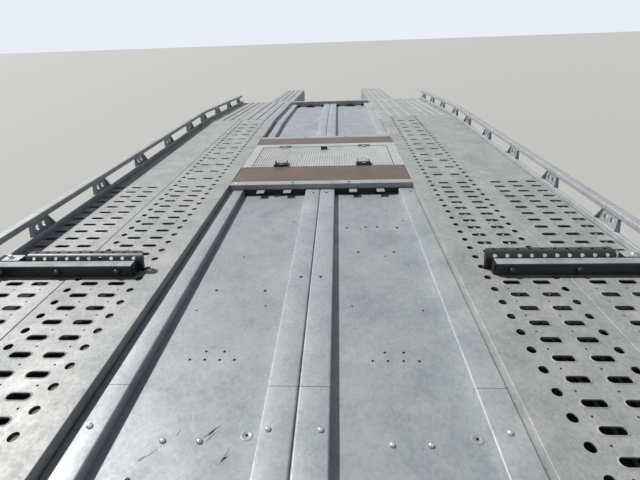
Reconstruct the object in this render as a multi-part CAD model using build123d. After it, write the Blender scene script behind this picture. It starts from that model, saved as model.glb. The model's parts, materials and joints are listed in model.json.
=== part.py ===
from build123d import *
import os
from math import asin, cos, pi, radians, sin, tan

# Car trailer: a galvanised single-deck tandem trailer for one car.
# Millimetres. X points to the towing eye, Y to the trailer's left, Z up from the ground.
# X = 0 is midway between the two axles until the whole trailer is centred at the end.

# Overall layout
deck_z = 915
deck_front = 2700
kink_x = -950
tail_run = 1650
tail_slope = 3.05
half_width = 1275

# Wheel tracks: each has an inner and an outer row of pressed steel planks
track_inner = 535
split_y = 910
joint_gap = 2
plank_wall = 4
plank_depth = 40
tail_depth = 20
groove_width = 22
groove_depth = 8

# Hole pattern of the level planks: rows along the track, columns across a plank
row_pitch = 70
first_row = 70
dense_rows = 25
sparse_rows = 12
sparse_step = 2
slot_length = 58
slot_width = 18
inner_slot_columns = (167, 268)
outer_slot_columns = (80, 177, 275)

# Edge beams, kerb and lashing rails
rail_overhang = 34
kerb_width = 14
edge_wall = 5
edge_depth = 90
edge_flange = 40
kerb_height = 26
rail_width = 40
rail_low = 75
rail_high = 100
bracket_base = 145
bracket_top = 112
bracket_wall = 8
bracket_root = 30
bracket_flange = 14
bracket_flange_wall = 6
lash_hole_d = 26
lash_hole_gap = 42
hole_sides = 6
# Distance of each bracket from the kink, tail side negative
bracket_stations = (3490, 2990, 2490, 1990, 1490, 990, 490, 85, -420, -920, -1420)

# Main beams and the well between the tracks
beam_width = 83
beam_web = 8
beam_flange = 10
beam_height = 190
strip_top = 30
strip_wall = 4
sheet_top = 60
sheet_wall = 4
beam_top = sheet_top + sheet_wall
centre_beam_width = 83
centre_gap = 2
well_gap = 1
well_break = 12
end_beam_length = 110

# Cross members between the main beams, outriggers outside them
member_wall = 6
member_flange = 45
member_depth = 150
member_x = (2640, 2040, 1440, 660, 60, -420, -900)
tail_member_s = (-500, -1050)
outrigger_root = 200
brace_reach = 90
brace_drop = 25
brace_foot = 60
outrigger_x = (2600, 2040, 1480, 925, 0, -925)
shallow_x = (475, -475)
frame_plate = 10
tail_frame_s = (-450, -900, -1340, -1640)

# Cross deck over the tool box, measured along X
cross_edge = 56
front_ply = 273
lid_length = 480
rear_strip = 79
rear_ply = 190
cross_front = 932
ply_wall = strip_top
cross_gap = 2
lid_gap = 5
lid_half = 465
lid_wall = 5
lid_skirt = 19
ledge_depth = 20
ledge_width = 30
seat_gap = 0.3
plank_seat = 20
box_half = 440
box_wall = 3
box_depth = 215
hinge_y = 300
hinge_length = 90
hinge_barrel_d = 10
hinge_pin_d = 5
hinge_leaf = 26
hinge_leaf_wall = 3
barrel_sides = 8
latch_y = 272
latch_length = 60
latch_width = 74
latch_height = 26
latch_base = 4
latch_bow = 28
latch_bow_front = 12
latch_bow_rear = 18
grip_length = 24
grip_width = 34
grip_height = 16
grip_inset = 60

# Extension tracks that slide out of the tail
ext_clear = 6
ext_width = 351
ext_length = 2600
ext_inside = 350
ext_drop = 5
ext_depth = 60
ext_wall = 4
girder_width = 70
girder_depth = 190
girder_wall = 5
slide_clear = 5
end_plate_wall = 6
pad_length = 60
pad_inset = 8
frame_below = 30

# Wheels and axles: 215/75 R17.5 on steel discs
axle_spacing = 950
tyre_d = 767
tyre_width = 211
tyre_bead_d = 452
tyre_inset = 17
tyre_shoulder = 18
tyre_bulge = 62
ring_sides = 20
rim_width = 165
rim_wall = 8
disc_wall = 12
disc_inset = 18
disc_dish = 38
disc_flat_d = 264
hand_holes = 6
hand_hole_d = 46
hand_hole_circle_d = 344
hub_d = 176
hub_bore_d = 80
drum_d = 330
backing_inset = 12
axle_beam = 120
axle_beam_short = 258
spindle_short = 60
plate_wall_drum = 14
spindle_clear = 0.3
cap_wall = 10
cap_rim = 14

# Suspension: trailing arms, hangers and air springs under each main beam
arm_width = 80
arm_thick = 40
hanger_ahead = 450
hanger_wall = 10
hanger_length = 120
hanger_foot = 64
pivot_z = 470
pivot_below = 36
pivot_pin_d = 30
pin_head = 5
pin_sides = 8
arm_eye = 20
arm_nose = 25
arm_neck = 40
arm_seat_half = 80
arm_flare = 10
arm_tail = 30
bellows_d = 210
bellows_sides = 12
bellows_neck = 0.7
bellows_behind = 260
seat_drop = 30

# Mudguards
guard_gap = 48
guard_wall = 3
guard_overhang = 4
guard_width = 222
guard_bridge_z = 600
guard_start_deg = 12
guard_facets = 7
stay_wall = 8
stay_width = 50
stay_gap = 4

# Drawbar, towing eye and parking jack
drawbar_width = 140
drawbar_height = 180
drawbar_wall = 8
drawbar_rear = 1000
drawbar_front = 4020
eye_x = 4150
eye_d = 110
eye_bore_d = 40
eye_thick = 30
flange_wall = 20
eye_flange_wall = 16
shank_d = 52
eye_below = 75
eye_flange_height = 120
eye_overlap = 12
eye_chamfer = 8
coupling_margin = 20
coupling_lip = 15
nose_height = 150
nose_taper = 700
bearer_x = (2450, 1750, 1100)
bearer_length = 80
bearer_height = 80
jack_x = 3350
jack_tube = 70
jack_inner = 55
jack_top = 780
jack_split = 330
foot_size = 190
foot_wall = 10
jack_gap = 12
clamp_length = 140
clamp_height = 120
clamp_below = 20
crank_size = 16
crank_reach = 130
crank_below = 44
crank_grip_d = 20
crank_grip_length = 120

# Rear bar, lamps, plate
bar_x = -2440
bar_size = 100
bar_wall = 5
bar_half = 1150
bar_z = 420
bar_hanger_wall = 12
lamp_length = 360
lamp_height = 130
lamp_thick = 45
plate_length = 520
plate_height = 112
plate_wall = 3

# Wheel stops across the front of the tracks
stop_x = 1885
stop_length = 115
stop_inner = 660
stop_inset = 4
stop_wall = 5
stop_height = 68
stop_front_height = 45
stop_lip = 40
stop_corner = 30
stop_drop = 6
stop_facets = 3

# Air reservoir
tank_d = 240
tank_length = 620
tank_x = -877
tank_z = 560
strap_y = 180
strap_width = 40
strap_wall = 5
tank_sides = 16
tank_dome = 40
tank_end_d = 170

# Sizes that follow from the ones above
slope = radians(tail_slope)
half_joint = joint_gap / 2
deck_s = deck_front - kink_x
edge_outer = half_width - rail_overhang
outer_edge = edge_outer - kerb_width - well_gap
stop_outer = outer_edge - stop_inset
tail_end = -tail_run
wheel_z = tyre_d / 2
tyre_outer_face = half_width - tyre_inset
tyre_middle = tyre_outer_face - tyre_width / 2
axle_beam_half = tyre_outer_face - axle_beam_short
beam_inner = track_inner - beam_width
frame_low = deck_z - beam_top - beam_height
axle_top = wheel_z + axle_beam / 2
ext_inner_y = track_inner + plank_wall + ext_clear
box_front = cross_front - cross_edge - front_ply
box_rear = box_front - lid_length
well_break_front = box_front + well_break
well_break_rear = box_rear - well_break
lid_front = box_front - lid_gap
lid_rear = lid_front - lid_length
frame_rear = lid_rear - rear_strip + lid_gap
hinge_x = lid_rear - lid_gap / 2
hinge_z = deck_z + hinge_barrel_d / 2
drawbar_top = frame_low - bearer_height
eye_z = drawbar_top - eye_below


def block(x0, x1, y0, y1, z0, z1):
    """Rectangular block between two corners."""
    return Pos((x0 + x1) / 2, (y0 + y1) / 2, (z0 + z1) / 2) * Box(x1 - x0, y1 - y0, z1 - z0)


def side_plate(points, y0, y1):
    """Outline of (x, z) points seen from the side, given its thickness along Y."""
    plane = Plane(origin=(0, y0, 0), x_dir=(1, 0, 0), z_dir=(0, -1, 0))
    return extrude(plane * make_face(Polyline(*points, close=True)), amount=y0 - y1)


def cross_plate(points, x0, x1):
    """Outline of (y, z) points seen from the front, given its thickness along X."""
    plane = Plane.YZ.offset(x0)
    return extrude(plane * make_face(Polyline(*points, close=True)), amount=x1 - x0)


def turned(stations, sides):
    """Solid about the Z axis with flat sides, from (height, radius to the flats) stations."""
    rings = []
    for z, r in stations:
        corner = r / cos(pi / sides)
        angles = [pi * (2 * i + 1) / sides for i in range(sides)]
        rings.append([(corner * cos(a), corner * sin(a), z) for a in angles])
    faces = [Face(Wire.make_polygon(rings[0])), Face(Wire.make_polygon(rings[-1]))]
    for low, high in zip(rings, rings[1:]):
        for i in range(sides):
            k = i - 1
            faces.append(Face(Wire.make_polygon([low[k], low[i], high[i], high[k]])))
    return Solid(Shell(faces))


def along_y(shape):
    """Lays a shape made about the Z axis along the Y axis."""
    return Rot(-90, 0, 0) * shape


def bar_y(x, z, y0, y1, radius, sides):
    """Many-sided bar along Y with its corners on the stated radius."""
    shape = extrude(RegularPolygon(radius, sides), amount=y1 - y0)
    return Pos(x, y0, z) * along_y(shape)


def round_bar_y(x, z, y0, y1, radius):
    """Round bar along Y."""
    return Pos(x, (y0 + y1) / 2, z) * Rot(90, 0, 0) * Cylinder(radius, y1 - y0)


def both_sides(shape):
    """The shape and its mirror image on the trailer's other side."""
    return shape, mirror(shape, about=Plane.XZ)


def deck_point(s, depth):
    """Side-view point at distance s from the kink and depth under the deck, square to it."""
    if s > 0:
        return kink_x + s, deck_z - depth
    if s == 0:
        return kink_x + depth * tan(slope / 2), deck_z - depth
    return kink_x + s * cos(slope) + depth * sin(slope), deck_z + s * sin(slope) - depth * cos(slope)


def bent_bar(y0, y1, top, bottom, s_front, s_rear):
    """Bar that follows the deck line round the kink, between two depths under it."""
    stations = [s_front] + ([0] if s_front > 0 > s_rear else []) + [s_rear]
    upper = [deck_point(s, top) for s in stations]
    lower = [deck_point(s, bottom) for s in reversed(stations)]
    return side_plate(upper + lower, y0, y1)


def in_tail(shape):
    """Moves a shape from the tail's own frame, origin on the deck at the kink, to its place."""
    return Pos(kink_x, 0, deck_z) * Rot(0, -tail_slope, 0) * shape


def main_beam():
    """Channel main beam, web outside, flanges turned to the centre."""
    inner = beam_inner
    low = beam_top + beam_height
    web = bent_bar(track_inner - beam_web, track_inner, beam_top, low, deck_s, tail_end)
    top = bent_bar(inner, track_inner, beam_top, beam_top + beam_flange, deck_s, tail_end)
    bottom = bent_bar(inner, track_inner, low - beam_flange, low, deck_s, tail_end)
    return web + top + bottom


def folded_strip(y0, y1, top, bottom, wall, s_front, s_rear):
    """Inverted channel that follows the deck line."""
    cap = bent_bar(y0, y1, top, top + wall, s_front, s_rear)
    near = bent_bar(y0, y0 + wall, top, bottom, s_front, s_rear)
    far = bent_bar(y1 - wall, y1, top, bottom, s_front, s_rear)
    return cap + near + far


def rail_strip():
    """Folded strip on the main beam, beside the track."""
    outer = track_inner - well_gap
    rear = tail_end + end_beam_length + well_gap
    return folded_strip(beam_inner, outer, strip_top, sheet_top, strip_wall, deck_s, rear)


def well_pieces(maker):
    """Front and rear stretch of a piece that the tool box interrupts."""
    front = maker(deck_s, well_break_front - kink_x)
    rear = maker(well_break_rear - kink_x, tail_end + end_beam_length + well_gap)
    return front, rear


def centre_beam():
    """One of the two folded beams back to back on the centre line."""
    y0 = centre_gap / 2
    y1 = y0 + centre_beam_width
    return well_pieces(lambda a, b: folded_strip(y0, y1, strip_top, sheet_top, strip_wall, a, b))


def well_sheet():
    """Floor sheet of the well, under the centre beam and the rail strip."""
    y0 = centre_gap / 2
    y1 = track_inner - beam_web
    return well_pieces(lambda a, b: bent_bar(y0, y1, sheet_top, beam_top, a, b))


def member(x):
    """Coped channel between the main beams."""
    outer = track_inner - beam_web
    cope = beam_inner
    top = deck_z - beam_top
    under_flange = top - beam_flange
    low = deck_z - member_depth
    web = cross_plate([(-outer, under_flange), (-cope, under_flange), (-cope, top), (cope, top),
                       (cope, under_flange), (outer, under_flange), (outer, low), (-outer, low)],
                      x, x + member_wall)
    top_flange = block(x, x + member_flange, -cope, cope, top - member_wall, top)
    low_flange = block(x, x + member_flange, -outer, outer, low, low + member_wall)
    return web + top_flange + low_flange


def cross_members():
    """All members between the main beams, level and in the tail."""
    level = [member(x) for x in member_x]
    tail = [in_tail(Pos(0, 0, -deck_z) * member(s)) for s in tail_member_s]
    return level + tail


def outrigger(x, root_depth):
    """Tapered channel that carries the track outside the main beam."""
    top = deck_z - plank_depth
    tip = edge_outer - edge_wall
    tip_low = deck_z - edge_depth + edge_wall
    web = cross_plate([(track_inner, top), (tip, top), (tip, tip_low), (edge_outer - edge_flange, tip_low),
                       (track_inner, deck_z - root_depth)], x, x + member_wall)
    flange = block(x, x + member_flange, track_inner, tip, top - member_wall, top)
    return web + flange


def tail_frame(s):
    """Plate frame of the tail, hung under the main beam and open for the extension track."""
    beam_low = beam_top + beam_height
    inner = beam_inner
    girder_low = tail_depth + ext_drop + ext_depth + girder_depth
    window_low = girder_low + slide_clear
    window_side = track_inner + ext_clear + plank_wall + girder_width + slide_clear
    window_top = tail_depth + ext_drop + ext_depth + slide_clear
    window_outer = ext_inner_y + ext_width + slide_clear
    low = window_low + frame_below
    tip = edge_outer - edge_wall
    tip_low = edge_depth - edge_wall
    outline = [(inner, beam_low), (track_inner, beam_low), (track_inner, window_low),
               (window_side, window_low), (window_side, window_top), (window_outer, window_top),
               (window_outer, tail_depth), (tip, tail_depth), (tip, tip_low),
               (edge_outer - edge_flange, tip_low), (window_outer + brace_reach, tip_low + brace_drop),
               (window_side + brace_foot, low), (inner, low)]
    plate = cross_plate([(y, -depth) for y, depth in outline], s, s + frame_plate)
    return in_tail(plate)


def outriggers():
    """Everything that carries one track outside its main beam."""
    level = [outrigger(x, outrigger_root) for x in outrigger_x]
    shallow = [outrigger(x - member_flange / 2, edge_depth - edge_wall) for x in shallow_x]
    return level + shallow + [tail_frame(s) for s in tail_frame_s]


def edge_beam():
    """Deck edge beam with its kerb above the planks and a foot flange below."""
    y0 = outer_edge + well_gap
    web = bent_bar(edge_outer - edge_wall, edge_outer, -kerb_height, edge_depth, deck_s, tail_end)
    kerb = bent_bar(y0, edge_outer, -kerb_height, edge_wall - kerb_height, deck_s, tail_end)
    lip = bent_bar(y0, y0 + edge_wall, -kerb_height, 0, deck_s, tail_end)
    foot = bent_bar(edge_outer - edge_flange, edge_outer, edge_depth - edge_wall, edge_depth, deck_s, tail_end)
    return web + kerb + lip + foot


def row_places():
    """Distance of each hole row from the front end: close rows first, then every other one."""
    dense = [first_row + row_pitch * i for i in range(dense_rows)]
    sparse = [dense[-1] + row_pitch * sparse_step * (i + 1) for i in range(sparse_rows)]
    return dense, sparse


def plank(y0, y1, rows, columns):
    """Level pressed plank: a channel upside down with rows of slots."""
    low = deck_z - plank_depth
    w = plank_wall
    length = deck_front - kink_x
    sheet = Pos(deck_front - length / 2, (y0 + y1) / 2) * Rectangle(length, y1 - y0)
    cuts = [Pos(deck_front - row, y0 + column) * Rectangle(slot_width, slot_length)
            for row in rows for column in columns]
    shape = Pos(0, 0, deck_z - w) * extrude(sheet - cuts, amount=w)
    for a in (y0, y1 - w):
        shape += block(kink_x, deck_front, a, a + w, low, deck_z - w)
    return shape


def inner_plank():
    """Inner plank: two slot columns all along."""
    dense, sparse = row_places()
    return plank(track_inner, split_y - half_joint, dense + sparse, inner_slot_columns)


def outer_plank():
    """Outer plank: three slot columns over the front rows."""
    dense, sparse = row_places()
    return plank(split_y + half_joint, outer_edge, dense, outer_slot_columns)


def grooved_lines(y0, y1, top, wall):
    """Upper line of a grooved plank from y0 towards y1, and its underside back again."""
    upper = []
    under = []
    half = groove_width / 2
    for i in (1, 2, 3):
        c = y0 + i * (y1 - y0) / 4
        upper += [(c - half, top), (c - half / 2, top - groove_depth), (c + half / 2, top - groove_depth),
                  (c + half, top)]
        under += [(c - half - wall / 2, top - wall), (c - half / 2 - wall / 2, top - wall - groove_depth),
                  (c + half / 2 + wall / 2, top - wall - groove_depth), (c + half + wall / 2, top - wall)]
    return upper, list(reversed(under))


def tail_plank(y0, y1, seat):
    """Tail plank with three shallow grooves; seat turns its inner edge over the rail strip."""
    w = plank_wall
    d = tail_depth
    upper, under = grooved_lines(y0, y1, 0, w)
    if seat:
        inner = [(y0 + w, -w), (y0 + w, -strip_top), (y0 - seat, -strip_top), (y0 - seat, w - strip_top),
                 (y0, w - strip_top)]
    else:
        inner = [(y0 + w, -w), (y0 + w, -d), (y0, -d)]
    outline = [(y0, 0)] + upper + [(y1, 0), (y1, -d), (y1 - w, -d), (y1 - w, -w)] + under + inner
    shape = cross_plate(outline, tail_end, -joint_gap)
    return in_tail(shape)


def lash_rail():
    """Square rail over the deck edge."""
    return bent_bar(half_width - rail_width, half_width, -rail_high, -rail_low, deck_s, tail_end)


def lash_brackets():
    """Plates outside the edge beam that carry the rail, each with two lashing holes and a flange over the kerb."""
    made = []
    y0 = edge_outer
    y1 = y0 + bracket_wall
    base = bracket_base / 2
    top = bracket_top / 2
    for s in bracket_stations:
        corners = [(-base, bracket_root), (-base, -kerb_height), (-top, -rail_low), (top, -rail_low),
                   (base, -kerb_height), (base, bracket_root)]
        plate = side_plate([deck_point(s + ds, depth) for ds, depth in corners], y0, y1)
        for side in (-1, 1):
            inset = side * bracket_flange_wall
            flange = [(side * base, -kerb_height), (side * top, -rail_low), (side * top - inset, -rail_low),
                      (side * base - inset, -kerb_height)]
            plate += side_plate([deck_point(s + ds, depth) for ds, depth in flange], y0 - bracket_flange, y0)
        for side in (-1, 1):
            x, z = deck_point(s + side * lash_hole_gap / 2, -(kerb_height + rail_low) / 2)
            plate -= bar_y(x, z, y0 - 1, y1 + 1, lash_hole_d / 2, hole_sides)
        made.append(plate)
    return made


def front_beam():
    """Channel across the front end of the deck."""
    low = frame_low
    w = edge_wall
    x1 = deck_front + member_flange
    outline = [(deck_front, deck_z), (x1, deck_z), (x1, deck_z - w), (deck_front + w, deck_z - w),
               (deck_front + w, low + w), (x1, low + w), (x1, low), (deck_front, low)]
    return side_plate(outline, -edge_outer, edge_outer)


def end_beam():
    """Box beam across the rear end between the tracks."""
    half = track_inner - plank_seat - well_gap
    shape = block(tail_end, tail_end + end_beam_length, -half, half, -beam_top, 0)
    return in_tail(shape)


def cross_edges():
    """Folded steel edges in front of and behind the cross deck."""
    w = strip_wall
    half = track_inner - well_gap
    front_x = cross_front
    front = block(front_x - cross_edge, front_x, -half, half, deck_z - w, deck_z)
    front += block(front_x - w, front_x, -half, half, deck_z - ply_wall, deck_z)
    front += block(front_x - cross_edge, front_x - cross_edge + w, -half, half, deck_z - ply_wall, deck_z)
    rear_x = box_rear - rear_strip - rear_ply
    rear = block(rear_x - cross_edge, rear_x, -half, half, deck_z - w, deck_z)
    rear += block(rear_x - cross_edge, rear_x - cross_edge + w, -half, half, deck_z - ply_wall, deck_z)
    rear += block(rear_x - w, rear_x, -half, half, deck_z - ply_wall, deck_z)
    return front, rear


def plywood():
    """Two strips of phenolic plywood, in front of and behind the lid."""
    half = track_inner - well_gap - cross_gap
    z0 = deck_z - ply_wall
    z1 = deck_z - 1
    front = block(box_front + cross_gap / 2, cross_front - cross_edge, -half, half, z0, z1)
    rear_x = box_rear - rear_strip
    rear = block(rear_x - rear_ply, rear_x - cross_gap / 2, -half, half, z0, z1)
    return front, rear


def hinge_leaf_piece(side, way):
    """Leaf and barrel of a lid hinge; way is -1 for the frame's half with the pin, 1 for the lid's half."""
    third = hinge_length / 3
    y = side * hinge_y
    x0 = hinge_x + way * (hinge_barrel_d / 2 - 1)
    x1 = hinge_x + way * hinge_leaf
    leaf_lengths = ((y - hinge_length / 2, y - third / 2), (y + third / 2, y + hinge_length / 2))
    if way > 0:
        leaf_lengths = ((y - third / 2 + seat_gap, y + third / 2 - seat_gap),)
    piece = []
    for y0, y1 in leaf_lengths:
        barrel = bar_y(hinge_x, hinge_z, y0, y1, hinge_barrel_d / 2, barrel_sides)
        leaf = block(min(x0, x1), max(x0, x1), y0, y1, deck_z, deck_z + hinge_leaf_wall)
        piece.append(barrel + leaf)
    pin_r = hinge_pin_d / 2
    y0 = y - hinge_length / 2
    y1 = y + hinge_length / 2
    if way > 0:
        bore_r = (pin_r + seat_gap) / cos(pi / barrel_sides)
        return piece[0] - bar_y(hinge_x, hinge_z, y0, y1, bore_r, barrel_sides)
    return piece[0] + piece[1] + round_bar_y(hinge_x, hinge_z, y0, y1, pin_r)


def lid_frame():
    """Aluminium frame round the lid, with the ledge on which the lid lies."""
    half = track_inner - well_gap
    z0 = deck_z - ply_wall
    body = block(frame_rear, box_front, -half, half, z0, deck_z)
    hole = block(lid_rear - lid_gap, lid_front + lid_gap / 2, -lid_half - lid_gap, lid_half + lid_gap,
                 deck_z - ledge_depth, deck_z + 1)
    throat = block(lid_rear + ledge_width, lid_front - ledge_width, -box_half + box_wall, box_half - box_wall,
                   z0 - 1, deck_z)
    body -= hole
    body -= throat
    for side in (-1, 1):
        body += hinge_leaf_piece(side, -1)
    return body


def tool_box():
    """Open-topped box hung under the lid frame between the main beams."""
    z1 = deck_z - ply_wall
    z0 = z1 - box_depth
    x0 = lid_rear + ledge_width - box_wall
    x1 = lid_front - ledge_width + box_wall
    outer = block(x0, x1, -box_half, box_half, z0, z1)
    inner = block(x0 + box_wall, x1 - box_wall, -box_half + box_wall, box_half - box_wall, z0 + box_wall, z1 + 1)
    return outer - inner


def lid():
    """Lid plate with a turned-down skirt."""
    z1 = deck_z
    outer = block(lid_rear, lid_front, -lid_half, lid_half, z1 - lid_skirt, z1)
    inner = block(lid_rear + lid_wall, lid_front - lid_wall, -lid_half + lid_wall, lid_half - lid_wall,
                  z1 - lid_skirt - 1, z1 - lid_wall)
    shape = outer - inner
    for side in (-1, 1):
        shape += hinge_leaf_piece(side, 1)
    return shape


def latches():
    """Two toggle latches on the lid's front edge."""
    made = []
    for y in (-latch_y, latch_y):
        z = deck_z
        base = block(lid_front - latch_length, lid_front, y - latch_width / 2, y + latch_width / 2, z,
                     z + latch_base)
        bow = side_plate([(lid_front - latch_length + latch_bow_front, z + latch_base),
                          (lid_front - latch_bow_rear, z + latch_base),
                          (lid_front - latch_bow_rear, z + latch_height / 2),
                          (lid_front - latch_bow_rear - latch_bow_front, z + latch_height),
                          (lid_front - latch_length + latch_bow_front, z + latch_height)],
                         y - latch_bow / 2, y + latch_bow / 2)
        made.append(base + bow)
    return made


def lid_grip():
    """Small black grip at the middle of the lid's rear edge."""
    x = lid_rear + grip_inset
    return block(x, x + grip_length, -grip_width / 2, grip_width / 2, deck_z, deck_z + grip_height)


def extension_track():
    """Ribbed plank on a deep box girder, made in the tail's frame and slid out."""
    y0 = ext_inner_y
    y1 = y0 + ext_width
    top = -(tail_depth + ext_drop)
    low = top - ext_depth
    w = ext_wall
    front = tail_end + ext_inside
    rear = front - ext_length
    upper, under = grooved_lines(y0, y1, top, w)
    outline = [(y0, top)] + upper + [(y1, top), (y1, low), (y1 - w, low), (y1 - w, top - w)] + under
    outline += [(y0 + w, top - w), (y0 + w, low), (y0, low)]
    shape = cross_plate(outline, rear, front)
    g0 = low - girder_depth
    girder = block(rear, front, y0, y0 + girder_width, g0, low)
    core = block(rear + girder_wall, front - girder_wall, y0 + girder_wall, y0 + girder_width - girder_wall,
                 g0 + girder_wall, low - girder_wall)
    end_plate = block(rear, rear + end_plate_wall, y0, y1, low, top - groove_depth - w)
    return in_tail(shape + (girder - core) + end_plate)


def slide_pads():
    """Slide pads between the tail frames and one extension girder."""
    y0 = ext_inner_y
    girder_low = -(tail_depth + ext_drop + ext_depth + girder_depth)
    made = []
    for s in tail_frame_s[2:]:
        x0 = s
        x1 = s + frame_plate
        low = block(x0, x1 + pad_length, y0 + pad_inset, y0 + girder_width - pad_inset,
                    girder_low - slide_clear, girder_low - seat_gap)
        made.append(in_tail(low))
    return made


def axle(x):
    """Square axle beam with round spindles and drum backing plates."""
    z = wheel_z
    h = axle_beam / 2
    beam = block(x - h, x + h, -axle_beam_half, axle_beam_half, z - h, z + h)
    inner = axle_beam_half
    spindle = round_bar_y(x, z, inner, tyre_outer_face - spindle_short, hub_bore_d / 2 - spindle_clear)
    backing = bar_y(x, z, inner, inner + plate_wall_drum, drum_d / 2 - backing_inset, ring_sides)
    for half in both_sides(spindle + backing):
        beam += half
    return beam


def suspension():
    """Hanger brackets, pins and trailing arms under one main beam."""
    y_mid = track_inner - beam_width / 2
    y0 = y_mid - arm_width / 2
    y1 = y_mid + arm_width / 2
    seat_z = axle_top - seat_drop
    half = arm_seat_half
    wide = half + arm_flare
    made = []
    for ax in (axle_spacing / 2, -axle_spacing / 2):
        px = ax + hanger_ahead
        back = ax - bellows_behind
        arm = side_plate([(px - arm_neck, pivot_z + arm_eye), (px + arm_nose, pivot_z + arm_eye),
                          (px + arm_nose, pivot_z - arm_eye), (px - arm_neck, pivot_z - arm_eye),
                          (ax + half, axle_top), (ax - half, axle_top),
                          (back + half, seat_z - arm_tail), (back - half, seat_z - arm_tail),
                          (back - half, seat_z), (back + wide, seat_z),
                          (ax - wide, axle_top + arm_thick), (ax + wide, axle_top + arm_thick)], y0, y1)
        reach = hanger_wall + pin_head
        made.append(arm + bar_y(px, pivot_z, y0 - reach, y1 + reach, pivot_pin_d / 2, pin_sides))
        top = hanger_length / 2
        foot = hanger_foot / 2
        cheek = [(px - top, frame_low), (px + top, frame_low), (px + foot, pivot_z - pivot_below),
                 (px - foot, pivot_z - pivot_below)]
        cut = bar_y(px, pivot_z, y0 - 2 * hanger_wall, y1 + 2 * hanger_wall, pivot_pin_d / 2, pin_sides)
        for a in (y0 - hanger_wall, y1):
            made.append(side_plate(cheek, a, a + hanger_wall) - cut)
    return made


def air_springs():
    """Air springs between the trailing arms and the main beams."""
    y_mid = track_inner - beam_width / 2
    z0 = axle_top - seat_drop
    height = frame_low - z0
    r = bellows_d / 2
    neck = r * bellows_neck
    made = []
    for ax in (axle_spacing / 2, -axle_spacing / 2):
        bellows = turned([(0, neck), (height * 0.4, r), (height * 0.85, r), (height, neck)], bellows_sides)
        made += both_sides(Pos(ax - bellows_behind, y_mid, z0) * bellows)
    return made


def tyre():
    """One tyre about the Y axis, centred on its own width."""
    r1 = tyre_d / 2
    r0 = tyre_bead_d / 2
    h = tyre_width / 2
    bead = h * 0.78
    crown = h * 0.72
    side = h * 0.9
    body = turned([(-bead, r0), (-h, r1 - tyre_bulge), (-side, r1 - tyre_shoulder), (-crown, r1), (crown, r1),
                   (side, r1 - tyre_shoulder), (h, r1 - tyre_bulge), (bead, r0)], ring_sides)
    core = turned([(-bead, r0), (bead, r0)], ring_sides)
    return along_y(body - core)


def wheel_disc():
    """Rim, dished disc, hub and brake drum as one turning piece; outside face towards +Y."""
    r1 = tyre_bead_d / 2 - seat_gap
    r2 = r1 - rim_wall
    w = rim_width / 2
    mouth = axle_beam_half + plate_wall_drum + 1 - tyre_middle
    blind = tyre_outer_face - spindle_short + 1 - tyre_middle
    bore_r = hub_bore_d / 2
    hub_r = hub_d / 2
    flat_r = disc_flat_d / 2
    dish = disc_inset - disc_dish
    shape = turned([(blind + cap_wall, bore_r + cap_rim), (dish, hub_r), (dish, flat_r), (disc_inset, r2),
                    (w, r2), (w, r1), (-w, r1), (-w, r2), (disc_inset - disc_wall, r2),
                    (dish - disc_wall, drum_d / 2), (mouth, drum_d / 2), (mouth, bore_r), (blind, bore_r)],
                   ring_sides)
    for i in range(hand_holes):
        hole = Pos(hand_hole_circle_d / 2, 0, dish - disc_wall) * RegularPolygon(hand_hole_d / 2, 4, rotation=45)
        shape -= Rot(0, 0, 360 / hand_holes * i) * extrude(hole, amount=disc_dish + disc_wall)
    return along_y(shape)


def guard_line(offset):
    """Side-view points of the mudguard's skin, from its front end over both wheels to its rear end."""
    r = wheel_z + guard_gap + offset
    first = radians(guard_start_deg)
    last = pi - asin((guard_bridge_z + offset - wheel_z) / r)
    front = []
    for i in range(guard_facets + 1):
        a = first + (last - first) * i / guard_facets
        front.append((axle_spacing / 2 + r * cos(a), wheel_z + r * sin(a)))
    return front + [(-x, z) for x, z in reversed(front)]


def mudguard():
    """One guard over both wheels, dipping between them."""
    y0 = half_width - guard_overhang - guard_width
    y1 = half_width - guard_overhang
    upper = guard_line(guard_wall)
    lower = guard_line(0)
    guard = side_plate(upper + list(reversed(lower)), y0, y1)
    y = (y0 + y1) / 2
    top = deck_z - edge_depth - stay_gap
    stay = block(member_wall, member_wall + stay_wall, y - stay_width / 2, y + stay_width / 2,
                 guard_bridge_z + guard_wall, top)
    return guard + stay


def drawbar():
    """Box drawbar under the front of the frame, with the plate that the towing eye bolts to."""
    top = drawbar_top
    low = top - drawbar_height
    h = drawbar_width / 2
    w = drawbar_wall
    nose = top - nose_height
    bend = drawbar_front - nose_taper
    outer = side_plate([(drawbar_rear, top), (drawbar_front, top), (drawbar_front, nose), (bend, low),
                        (drawbar_rear, low)], -h, h)
    inner = side_plate([(drawbar_rear + w, top - w), (drawbar_front - w, top - w), (drawbar_front - w, nose + w),
                        (bend, low + w), (drawbar_rear + w, low + w)], -h + w, h - w)
    plate = block(drawbar_front, drawbar_front + flange_wall, -h - coupling_margin, h + coupling_margin,
                  nose - coupling_lip, top + coupling_lip)
    return (outer - inner) + plate


def drawbar_bearers():
    """Cross bearers between the main beams and the drawbar."""
    return [block(x, x + bearer_length, -track_inner, track_inner, drawbar_top, frame_low) for x in bearer_x]


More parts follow.
